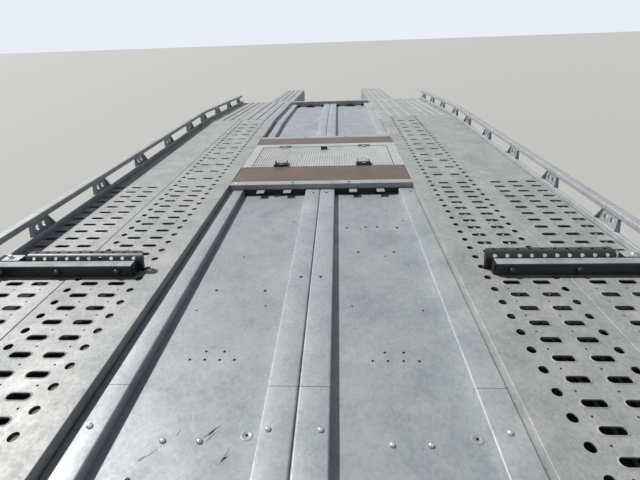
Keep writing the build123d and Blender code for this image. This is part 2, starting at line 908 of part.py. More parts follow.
def towing_eye():
    """Towing eye with its shank and flange."""
    z = eye_z
    x0 = drawbar_front + flange_wall
    x1 = x0 + eye_flange_wall
    x2 = eye_x - eye_d / 2 + eye_overlap
    flange = block(x0, x1, -drawbar_width / 2, drawbar_width / 2, z - eye_flange_height / 2,
                   z + eye_flange_height / 2)
    shank = Pos(x1, 0, z) * Rot(0, 90, 0) * extrude(RegularPolygon(shank_d / 2, pin_sides), amount=x2 - x1)
    rim = eye_d / 2 - eye_chamfer
    ring = Pos(eye_x, 0, z - eye_thick / 2) * turned([(0, rim), (eye_chamfer, eye_d / 2),
                                                     (eye_thick - eye_chamfer, eye_d / 2), (eye_thick, rim)],
                                                    ring_sides)
    hole = Pos(eye_x, 0, z) * Cylinder(eye_bore_d / 2, 4 * eye_thick)
    return flange + shank + ring - hole


def jack():
    """Parking jack clamped to the drawbar's right side, foot on the ground."""
    y = -(drawbar_width / 2 + jack_gap + jack_tube / 2)
    h = jack_tube / 2
    i = jack_inner / 2
    f = foot_size / 2
    outer = block(jack_x - h, jack_x + h, y - h, y + h, jack_split, jack_top)
    inner = block(jack_x - i, jack_x + i, y - i, y + i, foot_wall, jack_split)
    foot = block(jack_x - f, jack_x + f, y - f, y + f, 0, foot_wall)
    clamp_top = drawbar_top - clamp_below
    clamp = block(jack_x - clamp_length / 2, jack_x + clamp_length / 2, y + h, -drawbar_width / 2,
                  clamp_top - clamp_height, clamp_top)
    crank_top = jack_top - crank_below
    c = crank_size / 2
    g = crank_grip_d / 2
    tip = y - h - crank_reach
    crank = block(jack_x - c, jack_x + c, tip, y - h, crank_top - crank_size, crank_top)
    grip = block(jack_x - g, jack_x + g, tip - crank_grip_d, tip, crank_top - crank_grip_length, crank_top)
    return outer + inner + foot + clamp + crank + grip


def rear_bar():
    """Underrun bar with its two hangers from the main beams."""
    x0 = bar_x - bar_size
    bar = block(x0, bar_x, -bar_half, bar_half, bar_z, bar_z + bar_size)
    core = block(x0 + bar_wall, bar_x - bar_wall, -bar_half + bar_wall, bar_half - bar_wall, bar_z + bar_wall,
                 bar_z + bar_size - bar_wall)
    bar -= core
    inner = beam_inner
    s0 = (x0 - kink_x) / cos(slope)
    s1 = (bar_x - kink_x) / cos(slope)
    low = beam_top + beam_height
    for side in (-1, 1):
        y_a = side * inner
        y_b = side * (inner + bar_hanger_wall)
        hanger = side_plate([deck_point(s0, low), deck_point(s1, low), (bar_x, bar_z + bar_size),
                             (x0, bar_z + bar_size)], min(y_a, y_b), max(y_a, y_b))
        bar += hanger
    return bar


def rear_lamps():
    """Lamp housings on the rear face of the bar."""
    x1 = bar_x - bar_size
    made = []
    for side in (-1, 1):
        y_a = side * bar_half
        y_b = side * (bar_half - lamp_length)
        z = bar_z + bar_size / 2
        made.append(block(x1 - lamp_thick, x1, min(y_a, y_b), max(y_a, y_b), z - lamp_height / 2,
                          z + lamp_height / 2))
    return made


def number_plate():
    """Blank plate at the middle of the rear bar."""
    x1 = bar_x - bar_size
    z = bar_z + bar_size / 2
    return block(x1 - plate_wall, x1, -plate_length / 2, plate_length / 2, z - plate_height / 2,
                 z + plate_height / 2)


def wheel_stop():
    """Wheel stop across one track: a front angle, a plate that rises and curls back behind it, and a cheek."""
    z = deck_z
    w = stop_wall
    high = z + stop_front_height
    lip_x = stop_x - stop_lip
    angle = side_plate([(stop_x, z), (stop_x, high), (lip_x, high), (lip_x, high - w), (stop_x - w, high - w),
                        (stop_x - w, z)], stop_inner, stop_outer)
    rear_x = stop_x - stop_length
    crest = z + stop_height

    def curl(inset):
        radius = stop_corner - inset
        points = [(lip_x - inset, z)]
        for i in range(stop_facets + 1):
            a = pi / 2 * i / stop_facets
            points.append((lip_x - stop_corner + radius * cos(a), crest - stop_corner + radius * sin(a)))
        return points + [(rear_x, crest - stop_drop - inset)]

    saddle = side_plate(curl(0) + list(reversed(curl(w))), stop_inner, stop_outer)
    cheek = side_plate([(stop_x - w, z), (stop_x - w, high - w), (lip_x, high - w)] + curl(0)[2:-1]
                       + [(lip_x - stop_corner, z)], stop_inner - w, stop_inner)
    return angle, saddle, cheek


def air_tank():
    """Air reservoir across the frame behind the axles, hung on two straps."""
    half = tank_length / 2
    r = tank_d / 2
    end = tank_end_d / 2
    shell = turned([(-half, end), (-half + tank_dome, r), (half - tank_dome, r), (half, end)], tank_sides)
    shape = Pos(tank_x, 0, tank_z) * along_y(shell)
    band_r = r + strap_wall
    for side in (-1, 1):
        y = side * strap_y - strap_width / 2
        band = turned([(0, band_r), (strap_width, band_r)], tank_sides)
        shape += Pos(tank_x, y, tank_z) * along_y(band)
        shape += block(tank_x - strap_wall, tank_x + strap_wall, y, y + strap_width, tank_z + r,
                       deck_z - member_depth)
    return shape


def at_wheel(shape, axle_x, side):
    """Places a wheel piece, outside face away from the trailer."""
    turn = Rot(0, 0, 0) if side > 0 else Rot(0, 0, 180)
    return Pos(axle_x, side * tyre_middle, wheel_z) * turn * shape


nodes = {}


def add(name, *shapes):
    """Stores the solids of one node."""
    solids = []
    for shape in shapes:
        solids += shape.solids()
    nodes[name] = solids


# Pieces that come in a left and a right hand
handed = {
    "main_beam": (main_beam(),),
    "rail_strip": (rail_strip(),),
    "well_sheet": well_sheet(),
    "outriggers": outriggers(),
    "edge_beam": (edge_beam(),),
    "inner_plank": (inner_plank(),),
    "outer_plank": (outer_plank(),),
    "inner_tail": (tail_plank(track_inner, split_y - half_joint, plank_seat),),
    "outer_tail": (tail_plank(split_y + half_joint, outer_edge, 0),),
    "lash_rail": (lash_rail(),),
    "wheel_stop": wheel_stop(),
    "extension": (extension_track(),),
    "suspension": suspension(),
    "mudguard": (mudguard(),),
}
for name, shapes in handed.items():
    add(name + "_left", *shapes)
    add(name + "_right", *[mirror(shape, about=Plane.XZ) for shape in shapes])

add("cross_members", *cross_members())
front_centre, rear_centre = centre_beam()
add("centre_beams", *both_sides(front_centre), *both_sides(rear_centre))
add("front_beam", front_beam())
add("lash_brackets", *[half for plate in lash_brackets() for half in both_sides(plate)])
add("end_beam", end_beam())
add("cross_edges", *cross_edges())
add("plywood", *plywood())
add("lid_frame", lid_frame())
add("tool_box", tool_box())
add("lid", lid())
add("lid_fittings", *latches(), lid_grip())
add("slide_pads", *[copy for pad in slide_pads() for copy in both_sides(pad)])
add("axle_front", axle(axle_spacing / 2))
add("axle_rear", axle(-axle_spacing / 2))
add("air_springs", *air_springs())
add("drawbar", drawbar())
add("drawbar_bearers", *drawbar_bearers())
add("towing_eye", towing_eye())
add("jack", jack())
add("rear_bar", rear_bar())
add("rear_lamps", *rear_lamps())
add("number_plate", number_plate())
add("air_tank", air_tank())

wheel_places = (
    # name, axle x, side
    ("front_left", axle_spacing / 2, 1),
    ("front_right", axle_spacing / 2, -1),
    ("rear_left", -axle_spacing / 2, 1),
    ("rear_right", -axle_spacing / 2, -1),
)
for name, axle_x, side in wheel_places:
    add("tyre_" + name, at_wheel(tyre(), axle_x, side))
    add("wheel_" + name, at_wheel(wheel_disc(), axle_x, side))

# The whole trailer is moved so that its origin is the centre of its outline on the ground
boxes = [solid.bounding_box() for solids in nodes.values() for solid in solids]
low_x = min(box.min.X for box in boxes)
high_x = max(box.max.X for box in boxes)
low_z = min(box.min.Z for box in boxes)
shift = Pos(-(low_x + high_x) / 2, 0, -low_z)

os.makedirs("parts", exist_ok=True)
for name, solids in nodes.items():
    moved = [shift * solid for solid in solids]
    export_step(moved[0] if len(moved) == 1 else Compound(moved), "parts/" + name + ".step")
print("centred by", shift.position, "with", len(nodes), "nodes")
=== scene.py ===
import json
from math import asin, cos, pi, radians, sin, tan
from random import Random

import bmesh
import bpy
from mathutils import Matrix, Vector
from mathutils.geometry import delaunay_2d_cdt


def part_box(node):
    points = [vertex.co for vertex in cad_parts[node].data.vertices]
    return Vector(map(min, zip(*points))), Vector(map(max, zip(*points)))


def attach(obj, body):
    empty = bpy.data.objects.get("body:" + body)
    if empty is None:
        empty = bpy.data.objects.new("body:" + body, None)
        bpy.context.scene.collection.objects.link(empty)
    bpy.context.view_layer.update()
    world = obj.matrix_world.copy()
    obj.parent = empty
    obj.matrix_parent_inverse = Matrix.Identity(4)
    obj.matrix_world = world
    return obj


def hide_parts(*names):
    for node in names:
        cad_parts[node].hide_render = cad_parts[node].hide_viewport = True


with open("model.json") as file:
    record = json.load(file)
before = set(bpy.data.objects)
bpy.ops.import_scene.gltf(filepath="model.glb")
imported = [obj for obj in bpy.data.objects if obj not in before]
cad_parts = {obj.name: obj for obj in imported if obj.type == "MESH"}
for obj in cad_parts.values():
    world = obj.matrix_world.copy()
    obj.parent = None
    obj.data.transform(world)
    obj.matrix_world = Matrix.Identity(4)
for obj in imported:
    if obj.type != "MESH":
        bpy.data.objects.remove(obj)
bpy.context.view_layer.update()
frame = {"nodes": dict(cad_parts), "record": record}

# Car trailer. Lengths are millimetres until a mesh is made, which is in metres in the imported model's frame.
# s runs along the deck from the kink towards the towing eye, y to the trailer's left, h up from the deck.
# A table's columns are named in the loop that reads it.
MM = 0.001
SCENE = bpy.context.scene
# Each side with the sign of its y
SIDES = {"left": 1, "right": -1}

# Sizes shared with the solids: deck, tail and overall width
DECK_Z = 915
DECK_FRONT = 2700
KINK_X = -950
DECK_S = DECK_FRONT - KINK_X
TAIL_END = -1650
SLOPE = radians(3.05)
HALF_WIDTH = 1275
# Planks of the wheel tracks
TRACK_INNER = 535
SPLIT_Y = 910
OUTER_EDGE = 1226
INNER_PLANK = (TRACK_INNER, SPLIT_Y - 1)
OUTER_PLANK = (SPLIT_Y + 1, OUTER_EDGE)
PLANK_WALL = 4
PLANK_DEPTH = 40
TAIL_DEPTH = 20
FOLD_RADIUS = 5
GROOVE_WIDTH = 22
GROOVE_DEPTH = 8
ROW_PITCH = 70
DENSE_ROWS = 25
SPARSE_ROWS = 12
SLOT_LENGTH = 58
SLOT_WIDTH = 18
INNER_SLOTS = (702, 803)
OUTER_SLOTS = (991, 1088, 1186)
ROUND_HOLES = (632, 863)
ROUND_HOLE_D = 24
ROUND_ROWS = 52
FIRST_ROUND = 31.5
SMALL_HOLE_D = 7
# Edge beams, lashing rails and their brackets
EDGE_OUTER = 1241
EDGE_DEPTH = 90
EDGE_FLANGE = 40
KERB = 26
RAIL_WIDTH = 40
RAIL_LOW = 75
RAIL_HIGH = 100
BRACKETS = (3490, 2990, 2490, 1990, 1490, 990, 490, 85, -420, -920, -1420)
BRACKET_FOOT = 145 / 2
BRACKET_TOP = 112 / 2
BRACKET_LOW = -30
BRACKET_WALL = 8
LASH_HOLE_D = 26
# Well and cross deck, the first two as depths under the deck
STRIP_TOP = 30
SHEET_TOP = 60
SHEET_WALL = 4
BEAM_INNER = TRACK_INNER - 83
CROSS_HALF = TRACK_INNER - 1
CROSS_FRONT = 932
CROSS_REAR = -202
CROSS_EDGE = 56
BOX_FRONT = 603
LID_FRONT = 598
LID_REAR = 118
FRAME_REAR = 44
LID_HALF = 465
HINGE_X = 115.5
HINGE_Y = 300
HINGE_H = 5
# Wheels
TYRE_R = 383.5
TYRE_Y = 1152.5
AXLE_HALF = 475
# The solids are centred on their outline; the front face of the front beam gives the distance
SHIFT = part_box("front_beam")[1][0] / MM - (DECK_FRONT + 45)
# For a sweep: the places of a section's two coordinates and of the third, along which it is carried
ALONG = (1, 2, 0)
ACROSS = (0, 2, 1)
UPWARD = (0, 1, 2)


def on_deck(s, y, h):
    """Position of a point that is given along the deck line."""
    if s > 0:
        x, z = KINK_X + s, DECK_Z + h
    elif s == 0:
        x, z = KINK_X - h * tan(SLOPE / 2), DECK_Z + h
    else:
        x = KINK_X + s * cos(SLOPE) - h * sin(SLOPE)
        z = DECK_Z + s * sin(SLOPE) + h * cos(SLOPE)
    return ((x + SHIFT) * MM, y * MM, z * MM)


def in_tail(s, y, h):
    """Position of a point in the tail's own line, also ahead of the kink."""
    x = KINK_X + s * cos(SLOPE) - h * sin(SLOPE)
    z = DECK_Z + s * sin(SLOPE) + h * cos(SLOPE)
    return ((x + SHIFT) * MM, y * MM, z * MM)


def level(x, y, z):
    """Position of a point that is given from the ground and from midway between the axles."""
    return ((x + SHIFT) * MM, y * MM, z * MM)


def level_deck(x, y, h):
    """As level, with the height given from the deck."""
    return level(x, y, DECK_Z + h)


def as_drawn(u, v, w):
    return (u, v, w)


def side_on(u, v, w):
    """Turns a plate so that it faces the trailer's sides."""
    return (u, w, v)


def end_on(u, v, w):
    """Turns a plate so that it faces the trailer's ends."""
    return (w, u, v)


def axis_along(y, z):
    """Puts a turned form on an axis along the trailer."""
    return lambda u, v, w: (w, y + u, z + v)


def axis_across(x, z):
    """Puts a turned form on an axis across the trailer."""
    return lambda u, v, w: (x + u, w, z + v)


def axis_up(x, y, z=0):
    """Puts a turned form on an upright axis."""
    return lambda u, v, w: (x + u, y + v, z + w)


def inside(p, loop):
    """Whether a point lies within a convex loop."""
    turns = [(b[0] - a[0]) * (p[1] - a[1]) - (b[1] - a[1]) * (p[0] - a[0])
             for a, b in zip(loop, loop[1:] + loop[:1])]
    return min(turns) > 0 or max(turns) < 0


class Form:
    """Points and faces of one piece before they become a mesh."""

    def __init__(self):
        self.points = []
        self.faces = []

    def add(self, points, faces):
        start = len(self.points)
        self.points += [tuple(p) for p in points]
        self.faces += [[start + i for i in face] for face in faces]
        return self

    def join(self, other):
        return self.add(other.points, other.faces)

    def loft(self, rings, looped=False):
        """Skin over rings of equally many points, with ends or carried on to the first ring."""
        n = len(rings[0])
        total = n * len(rings)
        faces = []
        for r in range(len(rings) - (0 if looped else 1)):
            for i in range(n):
                k = (i + 1) % n
                faces.append((r * n + i, r * n + k, ((r + 1) * n + k) % total, ((r + 1) * n + i) % total))
        if not looped:
            faces.append(tuple(range(n))[::-1])
            faces.append(tuple(range(total - n, total)))
        return self.add([p for ring in rings for p in ring], faces)

    def sweep(self, section, stations, axes=ALONG):
        """Closed section of two coordinates carried along a third; axes gives the place of each."""
        rings = []
        for station in stations:
            ring = []
            for u, v in section:
                p = [0, 0, 0]
                p[axes[0]], p[axes[1]], p[axes[2]] = u, v, station
                ring.append(tuple(p))
            rings.append(ring)
        return self.loft(rings)

    def turned(self, profile, sides, place=as_drawn, closed=False):
        """Profile of (height, radius) about an axis; place turns (across, across, along) into the piece."""
        turns = [2 * pi * i / sides for i in range(sides)]
        return self.loft([[place(r * cos(a), r * sin(a), w) for a in turns] for w, r in profile], closed)

    def plate(self, outline, holes, low, high, lines=(), place=as_drawn):
        """Flat plate between two levels with convex holes; lines are extra edges within it."""
        loops = [list(outline)] + [list(hole) for hole in holes]
        verts = []
        edges = []
        owner = []
        for number, loop in enumerate(loops + [list(line) for line in lines]):
            start = len(verts)
            closing = number < len(loops)
            verts += [Vector(p) for p in loop]
            owner += [number if closing else -1] * len(loop)
            count = len(loop) - (0 if closing else 1)
            edges += [(start + i, start + (i + 1) % len(loop)) for i in range(count)]
        flat, _, cells, sources, _, _ = delaunay_2d_cdt(verts, edges, [list(range(len(outline)))], 1, 1e-6)
        tag = [max((owner[i] for i in source), default=-1) for source in sources]

        def is_hole(cell):
            tags = [tag[i] for i in cell]
            if tags[0] > 0 and tags[0] == tags[1] == tags[2]:
                return True
            if not lines or max(tags) > 0 and 0 in tags:
                return False
            middle = (flat[cell[0]] + flat[cell[1]] + flat[cell[2]]) / 3
            return any(inside(middle, hole) for hole in holes)

        kept = [tuple(cell) for cell in cells if not is_hole(cell)]
        n = len(flat)
        rim = {}
        for cell in kept:
            for a, b in zip(cell, cell[1:] + cell[:1]):
                if (b, a) in rim:
                    del rim[(b, a)]
                else:
                    rim[(a, b)] = True
        points = [place(p[0], p[1], high) for p in flat] + [place(p[0], p[1], low) for p in flat]
        faces = kept + [tuple(n + i for i in reversed(cell)) for cell in kept]
        faces += [(a, n + a, n + b, b) for a, b in rim]
        return self.add(points, faces)

    def box(self, x0, x1, y0, y1, z0, z1, edge=1.5):
        """Block with its edges taken off."""
        e = min(edge, (x1 - x0) / 3, (y1 - y0) / 3, (z1 - z0) / 3)

        def ring(inset, z):
            a0, a1, b0, b1 = x0 + inset, x1 - inset, y0 + inset, y1 - inset
            return [(a0 + e, b0, z), (a1 - e, b0, z), (a1, b0 + e, z), (a1, b1 - e, z),
                    (a1 - e, b1, z), (a0 + e, b1, z), (a0, b1 - e, z), (a0, b0 + e, z)]
        return self.loft([ring(e, z0), ring(0, z0 + e), ring(0, z1 - e), ring(e, z1)])

    def mirrored(self):
        """The same form on the trailer's other side."""
        other = Form()
        other.points = [(x, -y, z) for x, y, z in self.points]
        other.faces = [list(reversed(face)) for face in self.faces]
        return other

    def handed(self, side):
        """The form of the left side, mirrored for the right one."""
        return self if side == "left" else self.mirrored()

    def raised(self, dz):
        other = Form()
        other.points = [(x, y, z + dz) for x, y, z in self.points]
        other.faces = [list(face) for face in self.faces]
        return other


def rectangle(u0, u1, v0, v1):
    return [(u0, v0), (u1, v0), (u1, v1), (u0, v1)]


def rounded(line, radius, steps=3, closed=True):
    """The same line with its corners rounded."""
    line = [Vector(p) for p in line]
    count = len(line)
    points = []
    for i, corner in enumerate(line):
        if not closed and i in (0, count - 1):
            points.append(corner)
            continue
        a = line[i - 1] - corner
        b = line[(i + 1) % count] - corner
        half = a.angle(b) / 2
        if half > radians(88):
            points.append(corner)
            continue
        cut = min(radius / tan(half), a.length * 0.49, b.length * 0.49)
        r = cut * tan(half)
        centre = corner + (a.normalized() + b.normalized()).normalized() * (r / sin(half))
        first = corner + a.normalized() * cut - centre
        last = corner + b.normalized() * cut - centre
        turn = first.angle_signed(last)
        for k in range(steps + 1):
            angle = -turn * k / steps
            points.append(centre + Matrix.Rotation(angle, 2) @ first)
    return [tuple(p) for p in points]


def folded(line, wall, radius, side=1, steps=3):
    """Section of a sheet folded along a line; side tells on which side of it the wall lies."""
    outer = [Vector(p) for p in rounded(line, radius, steps, closed=False)]
    inner = []
    last = len(outer) - 1
    for i, p in enumerate(outer):
        along = (outer[min(i + 1, last)] - outer[max(i - 1, 0)]).normalized()
        inner.append(p + Vector((-along.y, along.x)) * wall * side)
    return [tuple(p) for p in outer + inner[::-1]]


def circle(u, v, d, sides):
    return [(u + d / 2 * cos(2 * pi * (i + 0.5) / sides), v + d / 2 * sin(2 * pi * (i + 0.5) / sides))
            for i in range(sides)]


def long_hole(u, v, width, length, offset=0, sides=12):
    """Hole with round ends, long across the track."""
    r = width / 2 + offset
    reach = (length - width) / 2
    points = []
    for end in (1, -1):
        for i in range(sides // 2):
            a = pi * i / (sides // 2 - 1)
            points.append((u + end * r * cos(a), v + end * (reach + r * sin(a))))
    return points


def add_node(tree, kind, inputs=None, **settings):
    """Adds a node with its settings and fills its inputs with values or links."""
    made = tree.nodes.new(kind)
    for name, value in settings.items():
        setattr(made, name, value)
    for name, value in (inputs or {}).items():
        if isinstance(value, bpy.types.NodeSocket):
            tree.links.new(value, made.inputs[name])
        else:
            made.inputs[name].default_value = value
    return made


def linear(hexa):
    """sRGB hex to the linear colour that shaders take."""
    channels = [int(hexa[i:i + 2], 16) / 255 for i in (0, 2, 4)]
    return tuple(c / 12.92 if c <= 0.04045 else ((c + 0.055) / 1.055) ** 2.4 for c in channels) + (1,)


def material_start(name):
    """New material with its tree, its shader and the coordinates of the piece that wears it."""
    material = bpy.data.materials.new(name)
    material.use_nodes = True
    tree = material.node_tree
    where = add_node(tree, "ShaderNodeTexCoord").outputs["Object"]
    return material, tree, tree.nodes["Principled BSDF"], where


# Marks of a surface per metre: clouds of 150 mm, wear of 110 mm, specks of 13 mm, scratches 2.4 mm apart and
# 110 mm long along the trailer. In a Mix node, colours are sockets 6 and 7 with result 2, and vectors are
# sockets 4 and 5 with result 1. In a Map Range node, 1 and 2 are the range read and 3 and 4 the range given.
CLOUDS = 6.5
WEAR_PATCHES = 9.0
SPECKS = 75.0
SCRATCHES = (9.0, 420.0, 420.0)


def metal_surface(name, dark, pale, grain_mm, roughness, metallic, stains, stain_hex, scratch=0.0, bump=0.15):
    """Metal with a crystal pattern, cloudy weathering, small dirt spots and fine lengthwise scratches."""
    material, tree, shader, where = material_start(name)
    crystals = 1000 / grain_mm
    wobble = add_node(tree, "ShaderNodeTexNoise", {"Vector": where, "Scale": crystals * 0.7, "Detail": 2.0})
    bent = add_node(tree, "ShaderNodeMix", {0: 0.006, 4: where, 5: wobble.outputs["Color"]},
                    data_type="VECTOR")
    crystal = add_node(tree, "ShaderNodeTexVoronoi", {"Vector": bent.outputs[1], "Scale": crystals})
    flake = add_node(tree, "ShaderNodeSeparateColor", {"Color": crystal.outputs["Color"]})
    cloud = add_node(tree, "ShaderNodeTexNoise",
                     {"Vector": where, "Scale": CLOUDS, "Detail": 9.0, "Roughness": 0.72})
    tone = add_node(tree, "ShaderNodeMath", {0: flake.outputs["Red"], 1: 0.3, 2: -0.15},
                    operation="MULTIPLY_ADD")
    clouded = add_node(tree, "ShaderNodeMapRange", {"Value": cloud.outputs["Fac"], 1: 0.25, 2: 0.75})
    mixed = add_node(tree, "ShaderNodeMath", {0: clouded.outputs[0], 1: tone.outputs[0]}, operation="ADD",
                     use_clamp=True)
    base = add_node(tree, "ShaderNodeMix", {0: mixed.outputs[0], 6: linear(dark), 7: linear(pale)},
                    data_type="RGBA")
    dirt = add_node(tree, "ShaderNodeTexNoise",
                    {"Vector": where, "Scale": SPECKS, "Detail": 5.0, "Roughness": 0.8})
    spots = add_node(tree, "ShaderNodeMapRange", {"Value": dirt.outputs["Fac"], 1: 0.6, 2: 0.74, 4: stains})
    stained = add_node(tree, "ShaderNodeMix", {0: spots.outputs[0], 6: base.outputs[2], 7: linear(stain_hex)},
                       data_type="RGBA")
    drawn = add_node(tree, "ShaderNodeMapping", {"Vector": where, "Scale": SCRATCHES})
    lines = add_node(tree, "ShaderNodeTexNoise", {"Vector": drawn.outputs[0], "Scale": 1.0, "Detail": 3.0})
    marks = add_node(tree, "ShaderNodeMapRange",
                     {"Value": lines.outputs["Fac"], 1: 0.66, 2: 0.72, 4: scratch})
    final = add_node(tree, "ShaderNodeMix", {0: marks.outputs[0], 6: stained.outputs[2], 7: linear(pale)},
                     data_type="RGBA")
    tree.links.new(final.outputs[2], shader.inputs["Base Color"])
    rough = add_node(tree, "ShaderNodeMath", {0: mixed.outputs[0], 1: -0.12, 2: roughness + 0.06},
                     operation="MULTIPLY_ADD")
    tree.links.new(rough.outputs[0], shader.inputs["Roughness"])
    shader.inputs["Metallic"].default_value = metallic
    relief = add_node(tree, "ShaderNodeBump",
                      {"Strength": bump, "Distance": 0.0006, "Height": dirt.outputs["Fac"]})
    tree.links.new(relief.outputs[0], shader.inputs["Normal"])
    return material


def coated_surface(name, base_hex, worn_hex, roughness, grain_mm, wear=0.35, coat=0.0, bump=0.1,
                   stretch=(1, 1, 1)):
    """Painted, moulded or coated surface with dust and wear in patches and a fine grain."""
    material, tree, shader, where = material_start(name)
    drawn = add_node(tree, "ShaderNodeMapping", {"Vector": where, "Scale": stretch})
    grain = add_node(tree, "ShaderNodeTexNoise",
                     {"Vector": drawn.outputs[0], "Scale": 1000 / grain_mm, "Detail": 3.0})
    patch = add_node(tree, "ShaderNodeTexNoise",
                     {"Vector": where, "Scale": WEAR_PATCHES, "Detail": 8.0, "Roughness": 0.68})
    both = add_node(tree, "ShaderNodeMath", {0: grain.outputs["Fac"], 1: 0.35, 2: patch.outputs["Fac"]},
                    operation="MULTIPLY_ADD")
    worn = add_node(tree, "ShaderNodeMapRange", {"Value": both.outputs[0], 1: 0.58, 2: 0.86, 4: wear})
    colour = add_node(tree, "ShaderNodeMix", {0: worn.outputs[0], 6: linear(base_hex), 7: linear(worn_hex)},
                      data_type="RGBA")
    tree.links.new(colour.outputs[2], shader.inputs["Base Color"])
    rough = add_node(tree, "ShaderNodeMath", {0: worn.outputs[0], 1: 0.3, 2: roughness},
                     operation="MULTIPLY_ADD")
    tree.links.new(rough.outputs[0], shader.inputs["Roughness"])
    shader.inputs["Coat Weight"].default_value = coat
    relief = add_node(tree, "ShaderNodeBump",
                      {"Strength": bump, "Distance": 0.0005, "Height": grain.outputs["Fac"]})
    tree.links.new(relief.outputs[0], shader.inputs["Normal"])
    return material


# Hot-dip galvanised steel, weathered dull: zinc crystals of about 8 mm, faint grey clouds, soft sheen
zinc = metal_surface("galvanised steel", "92979c", "bcc0c2", 8, 0.5, 0.18, 0.5, "6d6a60", 0.12, 0.2)
# Galvanised steel rolled over by tyres: paler, with rubber and dirt spots
track_zinc = metal_surface("worn galvanised steel", "878b8c", "bcbdba", 7, 0.56, 0.12, 0.8, "665f53", 0.2,
                           0.25)
# Galvanised sheet of the well floor: smooth, pale, with fine dirt
sheet_zinc = metal_surface("galvanised sheet", "8c9196", "b2b6b8", 9, 0.5, 0.16, 0.7, "6d695f", 0.14, 0.2)
# Galvanised frame under the deck, duller and in road dust
frame_zinc = metal_surface("dusty galvanised steel", "73777a", "a2a4a2", 16, 0.58, 0.04, 0.6, "5d574b")
# Zinc-plated fasteners: bright, fine grain
bolt_zinc = metal_surface("zinc plated steel", "a4a6a8", "d9dada", 4, 0.32, 0.9, 0.3, "5c564c")
# Ribbed aluminium plate of the lid: satin, pale, slightly blue
aluminium = metal_surface("satin aluminium", "aaadae", "d2d1cc", 5, 0.38, 0.15, 0.5, "7c786d", 0.12)
# Steel strip under the deck, covered in brown road dust
dusty_steel = coated_surface("road dust on steel", "7a7068", "94897e", 0.8, 2.0, 0.5, bump=0.3)
# Thin grey rubber smears on the sheets
smear = coated_surface("rubber smear", "7c7e7d", "a2a5a5", 0.6, 3.0, 0.8)
# Phenolic film on birch plywood: brown, half gloss, scuffed grey by shoes and straps
ply_film = coated_surface("phenolic faced plywood", "5a463a", "8b7767", 0.42, 2.2, 0.5, bump=0.25,
                          stretch=(1, 14, 14))
# Powder coated black steel of the wheel stops: fine orange peel, rubbed grey where tyres touch. On the stops'
# front angles, which are galvanised, this black is painted shade
black_coat = coated_surface("black powder coat", "0c0d11", "34373b", 0.42, 1.6, 0.3, bump=0.2)
# Pale top of the wheel stops' front angle in the colour of its galvanised steel, the black face below it
# being painted shade
stop_angle_top = coated_surface("galvanised stop angle top", "8b9094", "c6cacb", 0.42, 3.0, 0.9, bump=0.2)
# Chassis paint on axles and arms: satin black with road dust
chassis_paint = coated_surface("chassis paint", "191a1c", "57534b", 0.5, 2.5, 0.5, bump=0.2)
# Rolled rubber of the air springs
rubber = coated_surface("black rubber", "17171a", "46423c", 0.72, 1.2, 0.45, bump=0.3)
# Tyre rubber: matt, brown road dust in patches
tyre_rubber = coated_surface("tyre rubber", "1a1a1b", "4b463f", 0.8, 1.5, 0.5, bump=0.35)
# Silver painted steel wheels with brake dust
wheel_silver = coated_surface("silver wheel paint", "a3a5a6", "6b665e", 0.4, 2.0, 0.55, coat=0.2)
# Forged steel towing eye, painted black, rubbed bright at the bore
forged = coated_surface("painted forging", "202124", "6a6863", 0.5, 3.5, 0.55, bump=0.4)
# Red lamp lens: gloss plastic
lamp_red = coated_surface("red lens", "8f0f10", "b03a30", 0.18, 5.0, 0.25, coat=0.3, bump=0.05)
# Amber lamp lens: gloss plastic
lamp_amber = coated_surface("amber lens", "c8640c", "d58a3c", 0.18, 5.0, 0.25, coat=0.3, bump=0.05)
# Clear lamp lens over white reflectors
lamp_clear = coated_surface("clear lens", "c9cccd", "a8abab", 0.18, 5.0, 0.25, coat=0.3, bump=0.05)
# Black moulded housing
housing = coated_surface("moulded black plastic", "1b1b1d", "4c4a46", 0.5, 1.5, bump=0.25)
# Blank reflecting plate
blank_plate = coated_surface("blank plate", "dcdcd6", "bfbdb4", 0.4, 3.0, coat=0.1, bump=0.03)
# Slide pads: machined black nylon
nylon = coated_surface("black nylon", "1d1d1f", "55534e", 0.45, 2.0, 0.3)
# Shadow inside holes that have no depth of their own
hollow = coated_surface("dark hollow", "0a0a0b", "141415", 0.8, 2.0, 0.2)

CAD_MATERIALS = {
    "galvanised": frame_zinc, "galvanised_track": track_zinc, "aluminium": aluminium, "plywood": ply_film,
    "black_steel": black_coat, "chassis_black": chassis_paint, "rubber": rubber, "tyre": tyre_rubber,
    "wheel_paint": wheel_silver, "cast": forged, "lamp_red": lamp_red, "plate": blank_plate, "pad": nylon,
}
slot_of = {part["node"]: part["material_slot"] for part in frame["record"]["subparts"]}
for node_name, node_object in frame["nodes"].items():
    for material_slot in node_object.material_slots:
        material_slot.material = CAD_MATERIALS[slot_of[node_name]]


def in_scene(name, data):
    """Object of a mesh, lamp or camera, linked to the scene."""
    made = bpy.data.objects.new(name, data)
    SCENE.collection.objects.link(made)
    return made


def piece(name, form, material, node=None, body="chassis", place=on_deck, angle=35):
    """Makes the mesh of a form at its place, instead of a node where one is given."""
    mesh = bpy.data.meshes.new(name)
    mesh.from_pydata([place(*p) for p in form.points], [], form.faces)
    return finished(name, mesh, material, node, body, angle)


def finished(name, mesh, material, node, body, angle):
    """Object of a finished mesh: faces outward, edges sharp above an angle, riding on its body."""
    work = bmesh.new()
    work.from_mesh(mesh)
    bmesh.ops.recalc_face_normals(work, faces=work.faces)
    work.to_mesh(mesh)
    work.free()
    mesh.shade_smooth()
    mesh.set_sharp_from_angle(angle=radians(angle))
    mesh.materials.clear()
    mesh.materials.append(material)
    made = in_scene(name, mesh)
    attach(made, body)
    if node:
        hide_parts(node)
    return made


